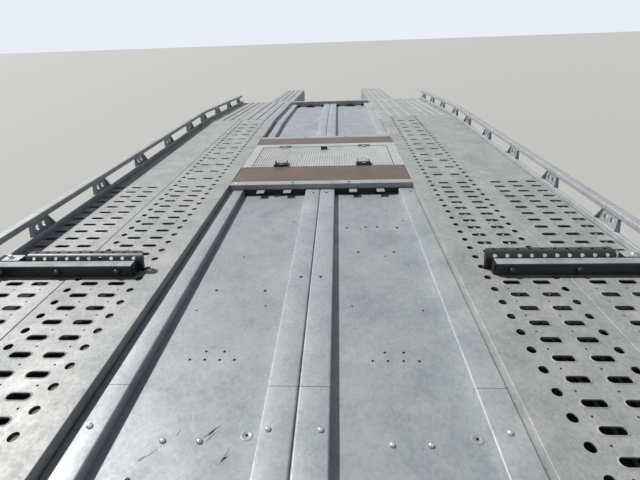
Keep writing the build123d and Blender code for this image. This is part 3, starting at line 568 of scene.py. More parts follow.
def copies_tree():
    """Geometry Nodes tree: copies of a piece on points, turned, sized and spun at random on their axis."""
    tree = bpy.data.node_groups.new("copies on points", "GeometryNodeTree")
    face = tree.interface
    for name, kind in (("Geometry", "Geometry"), ("Piece", "Object"), ("Size", "Vector"),
                       ("Own turn", "Float"), ("Seed", "Int"), ("Material", "Material")):
        face.new_socket(name=name, in_out="INPUT", socket_type="NodeSocket" + kind)
    face.new_socket(name="Geometry", in_out="OUTPUT", socket_type="NodeSocketGeometry")
    source = add_node(tree, "NodeGroupInput").outputs
    shape = add_node(tree, "GeometryNodeObjectInfo", {"Object": source["Piece"]})
    turn = add_node(tree, "GeometryNodeInputNamedAttribute", {"Name": "turn"}, data_type="FLOAT_VECTOR")
    rotation = add_node(tree, "FunctionNodeEulerToRotation", {0: turn.outputs["Attribute"]})
    placed = add_node(tree, "GeometryNodeInstanceOnPoints",
                      {"Points": source["Geometry"], "Instance": shape.outputs["Geometry"],
                       "Rotation": rotation.outputs[0], "Scale": source["Size"]})
    back = add_node(tree, "ShaderNodeMath", {0: source["Own turn"], 1: -1.0}, operation="MULTIPLY")
    drawn = add_node(tree, "FunctionNodeRandomValue",
                     {2: back.outputs[0], 3: source["Own turn"], "Seed": source["Seed"]}, data_type="FLOAT")
    about = add_node(tree, "ShaderNodeCombineXYZ", {"Z": drawn.outputs[1]})
    own = add_node(tree, "FunctionNodeEulerToRotation", {0: about.outputs[0]})
    turned = add_node(tree, "GeometryNodeRotateInstances",
                      {"Instances": placed.outputs[0], "Rotation": own.outputs[0]})
    solid = add_node(tree, "GeometryNodeRealizeInstances", {"Geometry": turned.outputs[0]})
    dressed = add_node(tree, "GeometryNodeSetMaterial",
                       {"Geometry": solid.outputs[0], "Material": source["Material"]})
    add_node(tree, "NodeGroupOutput", {"Geometry": dressed.outputs[0]})
    return tree


COPIES = copies_tree()


def repeat(name, form, spots, material, body="chassis", own_turn=0.0, seed=1,
           size=(1, 1, 1)):
    """Copies of a form (in millimetres about its own origin) at spots of (position in metres, turn)."""
    shape_mesh = bpy.data.meshes.new(name + "_shape")
    shape_mesh.from_pydata([(x * MM, y * MM, z * MM) for x, y, z in form.points], [], form.faces)
    shape = in_scene(name + "_shape", shape_mesh)
    points = bpy.data.meshes.new(name + "_points")
    points.from_pydata([position for position, _ in spots], [], [])
    turns = points.attributes.new("turn", "FLOAT_VECTOR", "POINT")
    turns.data.foreach_set("vector", [value for _, turn in spots for value in turn])
    holder = in_scene(name + "_points", points)
    modifier = holder.modifiers.new("copies", "NODES")
    modifier.node_group = COPIES
    values = {"Piece": shape, "Size": size, "Own turn": own_turn, "Seed": seed, "Material": material}
    for item in COPIES.interface.items_tree:
        if item.in_out == "INPUT" and item.name in values:
            modifier[item.identifier] = values[item.name]
    evaluated = holder.evaluated_get(bpy.context.evaluated_depsgraph_get())
    mesh = bpy.data.meshes.new_from_object(evaluated)
    bpy.data.objects.remove(holder)
    bpy.data.objects.remove(shape)
    return finished(name, mesh, material, None, body, 35)


def bolts(name, head, spots, seed, material=bolt_zinc, body="chassis"):
    """Bolt heads, each turned on its own axis as the spanner left it."""
    return repeat(name, head, spots, material, body, own_turn=pi, seed=seed)


def spots_at(points, place=level_deck, turn=(0, 0, 0)):
    """Spots for copies that all stand the same way."""
    return [(place(*p), turn) for p in points]


def dome_head(d, height):
    """Round bolt head with a domed top."""
    r = d / 2
    return Form().turned([(-1, r), (height * 0.25, r), (height * 0.7, r * 0.8), (height * 0.95, r * 0.45),
                          (height, r * 0.15)], 12)


def hex_head(d, height):
    """Hexagon bolt head with its corners taken off."""
    r = d / 2
    return Form().turned([(-1, r), (height * 0.85, r), (height, r * 0.88)], 6)


def on_washer(head, d, height=2.5):
    """A bolt head lifted onto its own washer."""
    washer = Form().turned([(-0.5, d / 2), (height * 0.7, d / 2), (height, d / 2 - height * 0.3)], 16)
    return washer.join(head.raised(height))


# Wheel tracks: pressed planks. A hole is cut 2 to 3 mm wider than its clear size, to the outside of its rim
def plank(y0, y1, slots, rows, rounds):
    """Level plank with slots, small drain holes and round holes, its two edges folded down."""
    holes = []
    for y in slots:
        for row in rows:
            holes.append(long_hole(DECK_S - row, y, SLOT_WIDTH + 3, SLOT_LENGTH + 3))
            holes.append(circle(DECK_S - row + ROW_PITCH * 0.5, y - 25, SMALL_HOLE_D, 8))
    for y in rounds:
        for i in range(ROUND_ROWS):
            holes.append(circle(DECK_S - FIRST_ROUND - ROW_PITCH * i, y, ROUND_HOLE_D + 2, 14))
    form = Form().plate(rectangle(1, DECK_S, y0 + FOLD_RADIUS, y1 - FOLD_RADIUS), holes, -PLANK_WALL, 0)
    for edge, way in ((y0, 1), (y1, -1)):
        line = [(edge + way * FOLD_RADIUS, 0), (edge, 0), (edge, -PLANK_DEPTH)]
        form.sweep(folded(line, PLANK_WALL, FOLD_RADIUS, way, 4), (DECK_S, 1))
    return form


def collar():
    """Pressed rim that stands up round a slot, as a line of (distance from the hole, height)."""
    line = ((0, -1.5), (0.4, 0.9), (1.5, 1.5), (2.6, 1.0), (5.5, -0.3))
    rings = []
    for offset, h in line:
        rings.append([(x, y, h) for x, y in long_hole(0, 0, SLOT_WIDTH + 2.4, SLOT_LENGTH + 2.4, offset)])
    return Form().loft(rings, looped=True)


DENSE = [ROW_PITCH * (i + 1) for i in range(DENSE_ROWS)]
SPARSE = [DENSE[-1] + 2 * ROW_PITCH * (i + 1) for i in range(SPARSE_ROWS)]
# Top of the dark sheets of painted shade under the planks' holes
HOLE_SHADE_TOP = -38
for side, sign in SIDES.items():
    for name, (y0, y1), slots, rows, rounds in (
            ("inner_plank", INNER_PLANK, INNER_SLOTS, DENSE + SPARSE, ROUND_HOLES),
            ("outer_plank", OUTER_PLANK, OUTER_SLOTS, DENSE, ())):
        form = plank(y0, y1, slots, rows, rounds)
        piece(f"{name}_{side}_skin", form.handed(side), track_zinc, f"{name}_{side}")
        spots = spots_at([(DECK_S - row, sign * y, 0) for y in slots for row in rows], on_deck)
        repeat(f"{name}_{side}_rims", collar(), spots, track_zinc)
        # Dark sheet low in the plank: painted shade, seen below its holes
        form = Form().sweep(rectangle(y0 + 5, y1 - 5, HOLE_SHADE_TOP - 1, HOLE_SHADE_TOP), (2, DECK_S - 2))
        piece(f"{name}_{side}_liner", form.handed(side), hollow)

# Dusty strip close under the innermost row of holes on the right, brake and cable pipes under the left track
STRIP_Y = -ROUND_HOLES[0]
form = Form().box(30, DECK_S - 8, STRIP_Y - 17, STRIP_Y + 17, HOLE_SHADE_TOP, -7, 0.5)
piece("hole_row_strip_right", form, dusty_steel)
form = Form()
for y, r in ((728, 5), (830, 4)):
    form.turned([(12, r), (DECK_S - 12, r)], 8, axis_along(y, HOLE_SHADE_TOP + r))
piece("brake_pipes_left", form, zinc)


def grooves(y0, y1, top):
    """Line across a grooved plank from its inner to its outer edge."""
    line = []
    half = GROOVE_WIDTH / 2
    for i in (1, 2, 3):
        c = y0 + i * (y1 - y0) / 4
        line += [(c - half, top), (c - half / 2, top - GROOVE_DEPTH), (c + half / 2, top - GROOVE_DEPTH),
                 (c + half, top)]
    return line


# Tail planks; the inner one also has a foot on the rail strip
foot_h = PLANK_WALL - STRIP_TOP
for side in SIDES:
    for name, (y0, y1), first_edge in (
            ("inner_tail", INNER_PLANK, [(TRACK_INNER - 20, foot_h), (TRACK_INNER, foot_h)]),
            ("outer_tail", OUTER_PLANK, [(OUTER_PLANK[0], -TAIL_DEPTH)])):
        line = first_edge + [(y0, 0)] + grooves(y0, y1, 0) + [(y1, 0), (y1, -TAIL_DEPTH)]
        form = Form().sweep(folded(line, PLANK_WALL, FOLD_RADIUS, -1), (-2, TAIL_END))
        piece(f"{name}_{side}_skin", form.handed(side), track_zinc, f"{name}_{side}",
              place=in_tail)

# Edge beams with the kerb, and the lashing rails on their brackets
SEAM = 1.5
RAIL_ENDS = (DECK_S, 2460, 1450, 430, -560, TAIL_END)
for side in SIDES:
    kerb_inner = OUTER_EDGE + 1
    line = [(kerb_inner, 0), (kerb_inner, KERB), (EDGE_OUTER, KERB), (EDGE_OUTER, -EDGE_DEPTH),
            (EDGE_OUTER - EDGE_FLANGE, -EDGE_DEPTH)]
    form = Form().sweep(folded(line, 4, 4, -1), (DECK_S, 0, TAIL_END))
    piece(f"edge_beam_{side}_skin", form.handed(side), zinc, f"edge_beam_{side}")
    form = Form()
    tube = rounded(rectangle(HALF_WIDTH - RAIL_WIDTH, HALF_WIDTH, RAIL_LOW, RAIL_HIGH), 4)
    for a, b in zip(RAIL_ENDS, RAIL_ENDS[1:]):
        stations = [a - (SEAM if a != DECK_S else 0)] + ([0] if a > 0 > b else []) + [b]
        form.sweep(tube, stations)
    piece(f"lash_rail_{side}_skin", form.handed(side), zinc, f"lash_rail_{side}")


def bracket(s):
    """Plate outside the edge beam with two lashing holes, its ends folded in over the kerb."""
    form = Form()
    y = EDGE_OUTER
    outline = [(s - BRACKET_FOOT, BRACKET_LOW), (s + BRACKET_FOOT, BRACKET_LOW), (s + BRACKET_FOOT, KERB),
               (s + BRACKET_TOP, RAIL_LOW), (s - BRACKET_TOP, RAIL_LOW), (s - BRACKET_FOOT, KERB)]
    holes = [circle(s + way * 21, (KERB + RAIL_LOW) / 2, LASH_HOLE_D, 16) for way in (-1, 1)]
    form.plate(outline, holes, y, y + BRACKET_WALL, place=side_on)
    for way in (-1, 1):
        foot, top = s + way * BRACKET_FOOT, s + way * BRACKET_TOP
        near = [(foot, y, KERB), (foot, y - 15, KERB), (foot, y - 15, KERB + 6), (top, y - 5, RAIL_LOW),
                (top, y, RAIL_LOW)]
        form.loft([near, [(x - way * 6, y, h) for x, y, h in near]])
    return form


def weld(s):
    """Weld seams where a bracket meets the edge beam."""
    form = Form()
    for way in (-1, 1):
        x = s + way * BRACKET_FOOT
        form.loft([[(x, EDGE_OUTER, h), (x + way * 5, EDGE_OUTER, h), (x, EDGE_OUTER + 5, h)]
                   for h in (BRACKET_LOW, KERB)])
    return form


for side in SIDES:
    form = Form()
    for s in BRACKETS:
        form.join(bracket(s)).join(weld(s))
    piece(f"lash_brackets_{side}", form.handed(side), zinc, "lash_brackets" if side == "left" else None)

# The well between the tracks: rail strips and centre beams, with a butt seam near the front
BUTT = 3303
WELL_REAR = TAIL_END + 111
# The centre beams and the sheets are cut out for the tool box
BOX_AHEAD, BOX_BEHIND = 1565, 1061


def strip_section(y0, y1):
    """Section of a folded strip that stands on the well's floor."""
    return folded([(y0, -SHEET_TOP), (y0, -STRIP_TOP), (y1, -STRIP_TOP), (y1, -SHEET_TOP)], 4, 6, -1, 4)


for side in SIDES:
    section = strip_section(BEAM_INNER, CROSS_HALF)
    form = Form().sweep(section, (DECK_S, BUTT + SEAM)).sweep(section, (BUTT, 0, WELL_REAR))
    piece(f"rail_strip_{side}_skin", form.handed(side), zinc, f"rail_strip_{side}")
    section = strip_section(1, 84)
    form = Form().sweep(section, (DECK_S, BUTT + SEAM)).sweep(section, (BUTT, BOX_AHEAD))
    form.sweep(section, (BOX_BEHIND, 0, WELL_REAR))
    piece(f"centre_beam_{side}_skin", form.handed(side), zinc, "centre_beams" if side == "left" else None)

# Floor sheets of the well with their drill holes
SHEET_HOLES = ((2202, 297, 9), (2202, 241, 9), (2235, 337, 9), (2235, 292, 9), (2235, 247, 9), (2235, 203, 9),
               (2008, 390, 8), (1983, 152, 8), (1650, 300, 9), (1400, 210, 8), (1180, 360, 9))
SHEET_INNER, SHEET_OUTER = 1, 527
SHEET_LOW = -SHEET_TOP - SHEET_WALL
for side in SIDES:
    holes = [circle(x - KINK_X, y, d, 8) for x, y, d in SHEET_HOLES]
    form = Form().plate(rectangle(1900, DECK_S, SHEET_INNER, SHEET_OUTER), holes, SHEET_LOW, -SHEET_TOP)
    form.sweep(rectangle(SHEET_INNER, SHEET_OUTER, SHEET_LOW, -SHEET_TOP), (BOX_BEHIND, 0, WELL_REAR))
    piece(f"well_sheet_{side}_skin", form.handed(side), sheet_zinc, f"well_sheet_{side}")
    # Dark sheet under the drilled part of the well sheets: painted shade seen through their holes
    form = Form().box(2080, 3620, 120, 420, -67, -65.5, 0.3)
    piece(f"well_sheet_{side}_liner", form.handed(side), hollow)

# Domed bolts on the strips and, a little ahead, on the sheets, at each cross member
spots = []
for x in (2478, -420):
    spots += spots_at([(x, y, -STRIP_TOP) for y in (492, 62, -62, -492)])
    spots += spots_at([(x + 14, y, -SHEET_TOP) for y in (316, 227, -226, -315)])
bolts("floor_bolts", dome_head(15, 7), spots, 3)
spots = spots_at([(x, y, -SHEET_TOP) for x in (2474, 1310) for y in (-116, 426)])
flush_screw = Form().turned([(-0.5, 15), (0.5, 15), (1.0, 14), (0.8, 9), (0.2, 8)], 20)
repeat("flush_screws", flush_screw, spots, sheet_zinc)
# Dark discs in the screws' centres: painted shade of their holes
repeat("flush_screw_holes", Form().turned([(0, 3.5), (1.1, 3.5)], 10), spots, hollow)
# Small dark screws on the strips and sheets
strip_spots = [(x, y) for x in (997, -260) for y in (511, 37, -37, -511)] + [(1846, 37), (1846, -37)]
sheet_spots = ((1383, 145), (1389, 385), (1615, 189), (1617, 342), (1377, 236), (1378, 291), (1890, -353),
               (1893, -169), (2585, -356))
spots = spots_at([(x, y, -STRIP_TOP) for x, y in strip_spots])
spots += spots_at([(x, y, -SHEET_TOP) for x, y in sheet_spots])
small_screw = Form().turned([(-0.5, 6), (1.5, 6), (2.6, 4), (1.4, 2)], 10)
repeat("strip_screws", small_screw, spots, black_coat)

# Rubber scuffs on the right-hand sheet, as thin smears
SCUFFS = ((2465, -202, 54, 7, -2.4), (2478, -201, 34, 5, -2.53), (2467, -202, 23, 4, -2.58),
          (2525, -156, 47, 4, -2.78), (2533, -156, 18, 7, -2.67), (2528, -151, 18, 4, -2.44),
          (2536, -346, 20, 5, -2.35), (2523, -329, 27, 2.5, -2.37), (2470, -284, 22, 2.5, -2.84))
SCUFF_OUTLINE = ((0, 0), (0.3, 0.5), (0.7, 0.35), (1, 0), (0.6, -0.4), (0.25, -0.5))
form = Form()
for x, y, length, width, turn in SCUFFS:
    loop = []
    for along, across in SCUFF_OUTLINE:
        u, v = (along - 0.5) * length, across * width
        loop.append((x - KINK_X + u * cos(turn) - v * sin(turn), y - u * sin(turn) - v * cos(turn)))
    form.plate(loop, [], -SHEET_TOP, -SHEET_TOP + 0.3)
piece("sheet_scuffs", form, smear)

# Cross deck: folded edges, with tabs; in the gap behind the front one a black plate is painted shade, and
# ahead of it a jagged black patch is its painted shadow
form = Form()
for x0 in (CROSS_FRONT - CROSS_EDGE, CROSS_REAR):
    x1 = x0 + CROSS_EDGE
    form.sweep(folded([(x0, -STRIP_TOP), (x0, 0), (x1, 0), (x1, -STRIP_TOP)], 4, 3, -1),
               (-CROSS_HALF, CROSS_HALF), ACROSS)
piece("cross_edges_folded", form, zinc, "cross_edges", place=level_deck)
form = Form()
for y in (-347, -191, 191, 347):
    form.box(CROSS_FRONT - 40, CROSS_FRONT + 56, y - 22, y + 22, -STRIP_TOP - 4, -STRIP_TOP, 1)
piece("front_tabs", form, zinc, place=level_deck)
# Black plate in the gap under the front edge: painted shade. Jagged black patch on the sheets ahead of it:
# the edge's painted shadow
gap_shade_plate = Form()
edge_shadow = Form()
EDGE_SHADOW_STEPS = 15
chance = Random(7)
for y0, y1 in ((-448, -88), (88, 448)):
    gap_shade_plate.box(CROSS_FRONT - 10, CROSS_FRONT - 4, y0, y1, -SHEET_TOP + 0.5, -STRIP_TOP - 0.5, 0.5)
    across = [y0 + (y1 - y0) * i / EDGE_SHADOW_STEPS for i in range(EDGE_SHADOW_STEPS + 1)]
    ahead = [CROSS_FRONT + 28 + 26 * chance.random() * chance.random() * (1 + 0.6 * sin(5 * i))
             for i in range(EDGE_SHADOW_STEPS + 1)]
    outline = [(CROSS_FRONT - 4, y0), (CROSS_FRONT - 4, y1)] + list(zip(ahead, across))[::-1]
    edge_shadow.plate(outline, [], -SHEET_TOP, -SHEET_TOP + 1.4)
piece("front_gap", gap_shade_plate, chassis_paint, place=level_deck)
piece("front_sealant", edge_shadow, rubber, place=level_deck)

form = Form()
for x0, x1 in ((604, 875), (-145, 43)):
    form.box(x0, x1, -532, 532, -STRIP_TOP, -1, 1.0)
piece("plywood_boards", form, ply_film, "plywood", place=level_deck)

# Lid frame: two plates with the lid's opening and the narrower throat of the tool box, and its hinge halves
form = Form()
frame_outline = rectangle(FRAME_REAR, BOX_FRONT, -CROSS_HALF, CROSS_HALF)
form.plate(frame_outline, [rectangle(LID_REAR - 5, LID_FRONT + 2.5, -LID_HALF - 5, LID_HALF + 5)], -20, 0)
form.plate(frame_outline, [rectangle(LID_REAR + 30, LID_FRONT - 30, -437, 437)], -STRIP_TOP, -20.02)
for y in (-HINGE_Y, HINGE_Y):
    for a, b in ((-45, -15), (15, 45)):
        form.box(92, 116, y + a, y + b, 0, 3, 0.8)
        form.turned([(y + a, 5), (y + b, 5)], 14, axis_across(HINGE_X, HINGE_H))
    form.turned([(y - 47, 2.6), (y + 47, 2.6)], 12, axis_across(HINGE_X, HINGE_H))
piece("lid_frame_plates", form, aluminium, "lid_frame", place=level_deck)

# Rubber seal between the lid and its frame
form = Form()
for y0, y1 in ((-LID_HALF - 4.9, -LID_HALF - 0.8), (LID_HALF + 0.8, LID_HALF + 4.9)):
    form.box(LID_REAR + 4, LID_FRONT + 2, y0, y1, -19.9, -1.5, 0.5)
form.box(LID_REAR - 4.5, LID_REAR - 1.5, -LID_HALF, LID_HALF, -19.9, -13, 0.5)
piece("lid_seal", form, rubber, place=level_deck)

# The lid: ribs along the trailer, 17 mm apart, a skirt on each side and its hinge halves
RIB_PITCH = 17
SKIRT = -19
ribs = []
count = int(2 * (LID_HALF - 12) / RIB_PITCH)
for i in range(count + 1):
    y = -count * RIB_PITCH / 2 + i * RIB_PITCH
    ribs += [(y - 4.2, -3.2), (y - 2.6, 0), (y + 2.6, 0), (y + 4.2, -3.2)]
section = ([(-LID_HALF, SKIRT), (-LID_HALF, -1.2), (-LID_HALF + 2, -0.4)] + ribs
           + [(LID_HALF - 2, -0.4), (LID_HALF, -1.2), (LID_HALF, SKIRT), (LID_HALF - 5, SKIRT),
              (LID_HALF - 5, -5), (-LID_HALF + 5, -5), (-LID_HALF + 5, SKIRT)])
form = Form().sweep(section, (LID_REAR, LID_FRONT))
for x0, x1 in ((LID_REAR, LID_REAR + 5), (LID_FRONT - 5, LID_FRONT)):
    form.box(x0, x1, -LID_HALF + 5.1, LID_HALF - 5.1, SKIRT, -5.1, 0.8)
for y in (-HINGE_Y, HINGE_Y):
    form.box(115, 141, y - 14.5, y + 14.5, 0, 3, 0.8)
    form.turned([(y - 14.5, 5), (y + 14.5, 5)], 14, axis_across(HINGE_X, HINGE_H))
piece("lid_ribbed_plate", form, aluminium, "lid", "lid", level_deck, 20)

# Screws of the lid, its frame, the cross deck's edges and the plywood
lid_screw = Form().turned([(-0.5, 4.5), (1.4, 4.5), (2.2, 3.2), (1.2, 1.6)], 10)
places = [(x, y, 0) for x in (150, 358, 566) for y in (-448, 448)] + [(358, -155, 0), (358, 155, 0)]
repeat("lid_screws", lid_screw, spots_at(places), frame_zinc, "lid")
places = [(x, y, 0) for x in (70, 240, 420, 585) for y in (-501, 501)]
places += [(80, y, 0) for y in (-420, -180, 180, 420)]
places += [(x, y, 0) for x in (904, -174) for y in (-500, 500)]
repeat("frame_screws", lid_screw, spots_at(places), bolt_zinc)
places = [(x, y, 0) for x in (904, -174) for y in (-165, 165)]
edge_screw = Form().turned([(-0.5, 8), (2, 8), (4.5, 5), (4.9, 1)], 12)
repeat("edge_screws", edge_screw, spots_at(places), frame_zinc)
places = [(x, y, -1) for x in (620, 860, -130, 28) for y in (-500, -250, 0, 250, 500)]
repeat("plywood_screws", lid_screw, spots_at(places), frame_zinc)

LATCH_Y = 272


def latch(y):
    """Toggle latch: base plate with a front lip, turned-up ears and its roller."""
    form = Form()
    form.box(LID_FRONT - 72, LID_FRONT - 1, y - 50, y + 50, 0, 3, 0.8)
    form.box(LID_FRONT - 6, LID_FRONT - 1, y - 50, y + 50, 2.5, 11, 0.8)
    for way in (-1, 1):
        ear = [(LID_FRONT - 66, 2.5), (LID_FRONT - 12, 2.5), (LID_FRONT - 17, 20), (LID_FRONT - 44, 30)]
        a, b = y + way * 34, y + way * 39
        form.sweep(rounded(ear, 4), (min(a, b), max(a, b)), ACROSS)
    return form.turned([(y - 34.5, 5), (y + 34.5, 5)], 12, axis_across(LID_FRONT - 24, 13))


def latch_lever(y):
    """Pressed lever with a window, leaning up from the roller, and the hook in front of it."""
    form = Form()
    outline = rounded([(y - 31, 0), (y + 31, 0), (y + 27, 25), (y + 13, 33), (y - 13, 33), (y - 27, 25)], 4)
    window = rounded([(y - 15, 9), (y + 15, 9), (y + 11, 24), (y - 11, 24)], 4)
    form.plate(outline, [window], -1.5, 1.5, (),
               lambda u, v, w: (LID_FRONT - 27 - v * 0.5 - w * 0.87, u, 8 + v * 0.87 - w * 0.5))
    hook = [(LID_FRONT - 20, 9), (LID_FRONT - 3, 12.5), (LID_FRONT - 2, 15.5), (LID_FRONT - 21, 13)]
    return form.sweep(rounded(hook, 1), (y - 12, y + 12), ACROSS)


form = latch(-LATCH_Y).join(latch(LATCH_Y))
grip = rounded([(172, 0), (204, 0), (200, 19), (176, 19)], 5)
form.sweep(grip, (-24, 24), ACROSS)
piece("latch_bases_and_grip", form, black_coat, "lid_fittings", "lid", level_deck)
form = latch_lever(-LATCH_Y).join(latch_lever(LATCH_Y))
piece("latch_levers", form, bolt_zinc, None, "lid", level_deck)

# Wheel stops: front angle, curled plate with two rows of holes behind it, cheek at the inner end
STOP_X, STOP_INNER, STOP_OUTER = 1885, 660, 1222
STOP_TOP = 45
PLATE_INNER, PLATE_OUTER = 635, 1088
STOP_LIP_X = STOP_X - 40
CREST_R = 25


def curl(steps):
    """Side line of the curled plate: upright from the deck, then back over its crest."""
    points = [(STOP_LIP_X, 0)]
    for i in range(steps + 1):
        a = pi / 2 * i / steps
        points.append((STOP_LIP_X - CREST_R + CREST_R * cos(a), 40 + CREST_R * sin(a)))
    return points + [(STOP_LIP_X - 46, 63)]


def curled_plate():
    """The curled plate unrolled flat, drilled, and bent again along its side line."""
    line = [Vector(p) for p in curl(8)]
    lengths = [0]
    for a, b in zip(line, line[1:]):
        lengths.append(lengths[-1] + (b - a).length)
    total = lengths[-1]

    def bend(u, v, w):
        i = 0
        while u > lengths[i + 1] and i < len(line) - 2:
            i += 1
        part = (u - lengths[i]) / (lengths[i + 1] - lengths[i])
        along = (line[i + 1] - line[i]).normalized()
        p = line[i].lerp(line[i + 1], part) + Vector((along.y, -along.x)) * w
        return (p.x, v, p.y)

    holes = []
    for i in range(10):
        y = 668 + i * 43.5
        holes.append(circle(55, y, 17, 14))
        holes.append(circle(86, y, 14, 12))
    corner = 22
    outline = [(0, PLATE_INNER), (0, PLATE_OUTER), (total, PLATE_OUTER), (total, PLATE_INNER + corner),
               (total - corner * 0.3, PLATE_INNER + corner * 0.3), (total - corner, PLATE_INNER)]
    lines = [[(at, PLATE_INNER + 0.5), (at, PLATE_OUTER - 0.5)] for at in lengths[1:-1]]
    return Form().plate(outline, holes, -5, 0, lines, bend)


for side, sign in SIDES.items():
    form = Form()
    angle_line = folded([(STOP_LIP_X, STOP_TOP), (STOP_X, STOP_TOP), (STOP_X, 0)], 5, 5, -1, 4)
    form.sweep(angle_line, (STOP_INNER, STOP_OUTER), ACROSS)
    form.join(curled_plate())
    cheek = [(STOP_X - 5, 0), (STOP_X - 5, 40), (STOP_LIP_X + 2, 40), (STOP_LIP_X - 8, 57),
             (STOP_LIP_X - 20, 60), (STOP_LIP_X - 30, 0)]
    form.sweep(cheek, (STOP_INNER - 5, STOP_INNER), ACROSS)
    # All in black: the curled plate is black itself, while on the front angle the black is painted shade
    piece(f"wheel_stop_{side}_body", form.handed(side), black_coat, f"wheel_stop_{side}",
          place=level_deck)
    # Pale strip on the angle's top in the colour of its galvanised steel, over the painted shade of its black
    # front
    strip = Form().box(STOP_LIP_X + 1, STOP_X - 3, STOP_INNER + 2, STOP_OUTER - 2, STOP_TOP - 0.2,
                       STOP_TOP + 0.5, 0.3)
    piece(f"wheel_stop_{side}_rubbed_edge", strip.handed(side), stop_angle_top,
          place=level_deck)
    clamp = Form().box(STOP_LIP_X - 46, STOP_LIP_X - 4, 1122, STOP_OUTER - 8, 43, 47, 1)
    clamp.box(STOP_LIP_X - 46, STOP_LIP_X - 40, 1122, STOP_OUTER - 8, 0, 43, 1)
    piece(f"wheel_stop_{side}_clamp", clamp.handed(side), zinc, place=level_deck)
    repeat(f"wheel_stop_{side}_clamp_bolt", on_washer(hex_head(17, 9), 26),
           spots_at([(STOP_LIP_X - 25, sign * 1166, 47)]), bolt_zinc)
    spots = spots_at([(STOP_X, sign * y, 22) for y in (716, 945, 1165)], turn=(0, pi / 2, 0))
    bolts(f"wheel_stop_{side}_bolts", on_washer(dome_head(24, 11), 32), spots, 5, black_coat)

# End beam with its slots and holes, and a dark plate inside it under them, as painted shade seen through the
# holes
END_FRONT = TAIL_END + 110
END_HALF = TRACK_INNER - 21
END_WALL = 5
holes = [long_hole(TAIL_END + 60, y, 24, 62) for y in (-250, 250)]
holes += [circle(TAIL_END + 60, y, 30, 16) for y in (-390, -100, 100, 390)]
form = Form().plate(rectangle(TAIL_END, END_FRONT, -END_HALF, END_HALF), holes, -END_WALL, 0)
form.sweep(rounded(rectangle(TAIL_END, END_FRONT, -64, -END_WALL - 0.02), 1), (-END_HALF, END_HALF), ACROSS)
piece("end_beam_box", form, zinc, "end_beam", place=in_tail)
form = Form().box(TAIL_END + 30, TAIL_END + 90, -END_HALF + 40, END_HALF - 40, -5.01, -4.4, 0.2)
piece("end_beam_hollow", form, hollow, place=in_tail)

# Black rubber blocks and round plugs at the rear end of the sheets
form = Form()
REAR_BLOCKS_S = TAIL_END + 188
for way in (-1, 1):
    for y in (104, 430):
        form.turned([(-60, 20), (-36, 20), (-32, 16)], 16, axis_up(REAR_BLOCKS_S, way * y))
    y = way * 270
    form.box(REAR_BLOCKS_S - 13, REAR_BLOCKS_S + 13, y - 62, y + 62, -60, -38, 5)
    form.box(REAR_BLOCKS_S - 9, REAR_BLOCKS_S + 9, y - 15, y + 15, -40, -24, 5)
piece("rear_buffers", form, rubber, place=in_tail)

# Extension tracks: grooved channel, girder under its inner edge and end plate
EXT_INNER, EXT_OUTER = TRACK_INNER + 10, TRACK_INNER + 361
EXT_TOP = -25
EXT_LOW = EXT_TOP - 60
EXT_FRONT = TAIL_END + 350
EXT_REAR = EXT_FRONT - 2600
for side in SIDES:
    line = ([(EXT_INNER, EXT_LOW), (EXT_INNER, EXT_TOP)] + grooves(EXT_INNER, EXT_OUTER, EXT_TOP)
            + [(EXT_OUTER, EXT_TOP), (EXT_OUTER, EXT_LOW)])
    form = Form().sweep(folded(line, 4, 6, -1), (EXT_FRONT, EXT_REAR))
    form.box(EXT_REAR, EXT_FRONT, EXT_INNER, EXT_INNER + 70, EXT_TOP - 250, EXT_LOW, 5)
    form.box(EXT_REAR, EXT_REAR + 6, EXT_INNER, EXT_OUTER, EXT_LOW, EXT_TOP - 12, 1)
    piece(f"extension_{side}_track", form.handed(side), track_zinc, f"extension_{side}",
          f"{side}_extension", in_tail)

# Bolts that hold the brackets, and amber side reflectors between them
for side, sign in SIDES.items():
    outward = (-sign * pi / 2, 0, 0)
    places = [(s + way * 48, sign * (EDGE_OUTER + BRACKET_WALL), -12) for s in BRACKETS for way in (-1, 1)]
    spots = spots_at(places, on_deck, outward)
    bolts(f"bracket_bolts_{side}", on_washer(hex_head(19, 9), 28), spots, 11)
    spots = spots_at([(s, sign * EDGE_OUTER, -58) for s in (3240, 1740, 237, -1170)], on_deck, outward)
    repeat(f"side_reflectors_{side}", Form().box(-45, 45, -18, 18, -0.5, 9, 3), spots, lamp_amber)

# Tyres and wheels: half sections as (distance from the middle, radius)
TYRE_HALF = ((6, 383.5), (22, 383.5), (23.5, 372), (30.5, 372), (32, 383.3), (54, 383), (55.5, 372.5),
             (62.5, 372.5), (64, 382.6), (80, 380.5), (92, 374), (96, 366), (100, 352), (104, 335),
             (105.5, 316), (104.5, 300), (105, 262), (103, 255), (97, 240), (90, 229), (82, 226))
TYRE_LINE = ([(-w, r) for w, r in reversed(TYRE_HALF)] + [(-4.5, 372), (4.5, 372)] + list(TYRE_HALF)
             + [(70, 226), (-70, 226)])
RIM_LINE = ((-82, 225), (-82, 233), (-88, 236), (-91, 230), (-88, 219), (-80, 216), (-52, 214), (-34, 196),
            (38, 196), (54, 213), (80, 216), (88, 219), (91, 230), (88, 236), (82, 233), (82, 225),
            (62, 222), (46, 204), (-38, 204), (-52, 222))
HUB_LINE = ((57, 8), (57, 34), (53, 46), (46, 54), (38, 56), (36, 62), (6, 64), (0, 74), (-8, 86),
            (-20.5, 88), (-32.5, 90), (-33, 160), (-42, 165), (-124, 165), (-126, 169), (-137, 169),
            (-137.5, 150), (-137.5, 40.4), (46, 40.4), (46, 8))
# The dish of the disc as (radius, height)
DISC_LINE = ((88, -20), (132, -20), (150, -14), (196, 12), (214, 18))
LUGS = 64
LUG_R = 373
WHEEL_NUTS = 10
NUT_CIRCLE_R = 112


def about_wheel(x, side):
    """Puts a shape about an axis onto a wheel, outside face away from the trailer."""
    sign = SIDES[side]
    return lambda u, v, w: (x + u, sign * (TYRE_Y + w), TYRE_R + v)


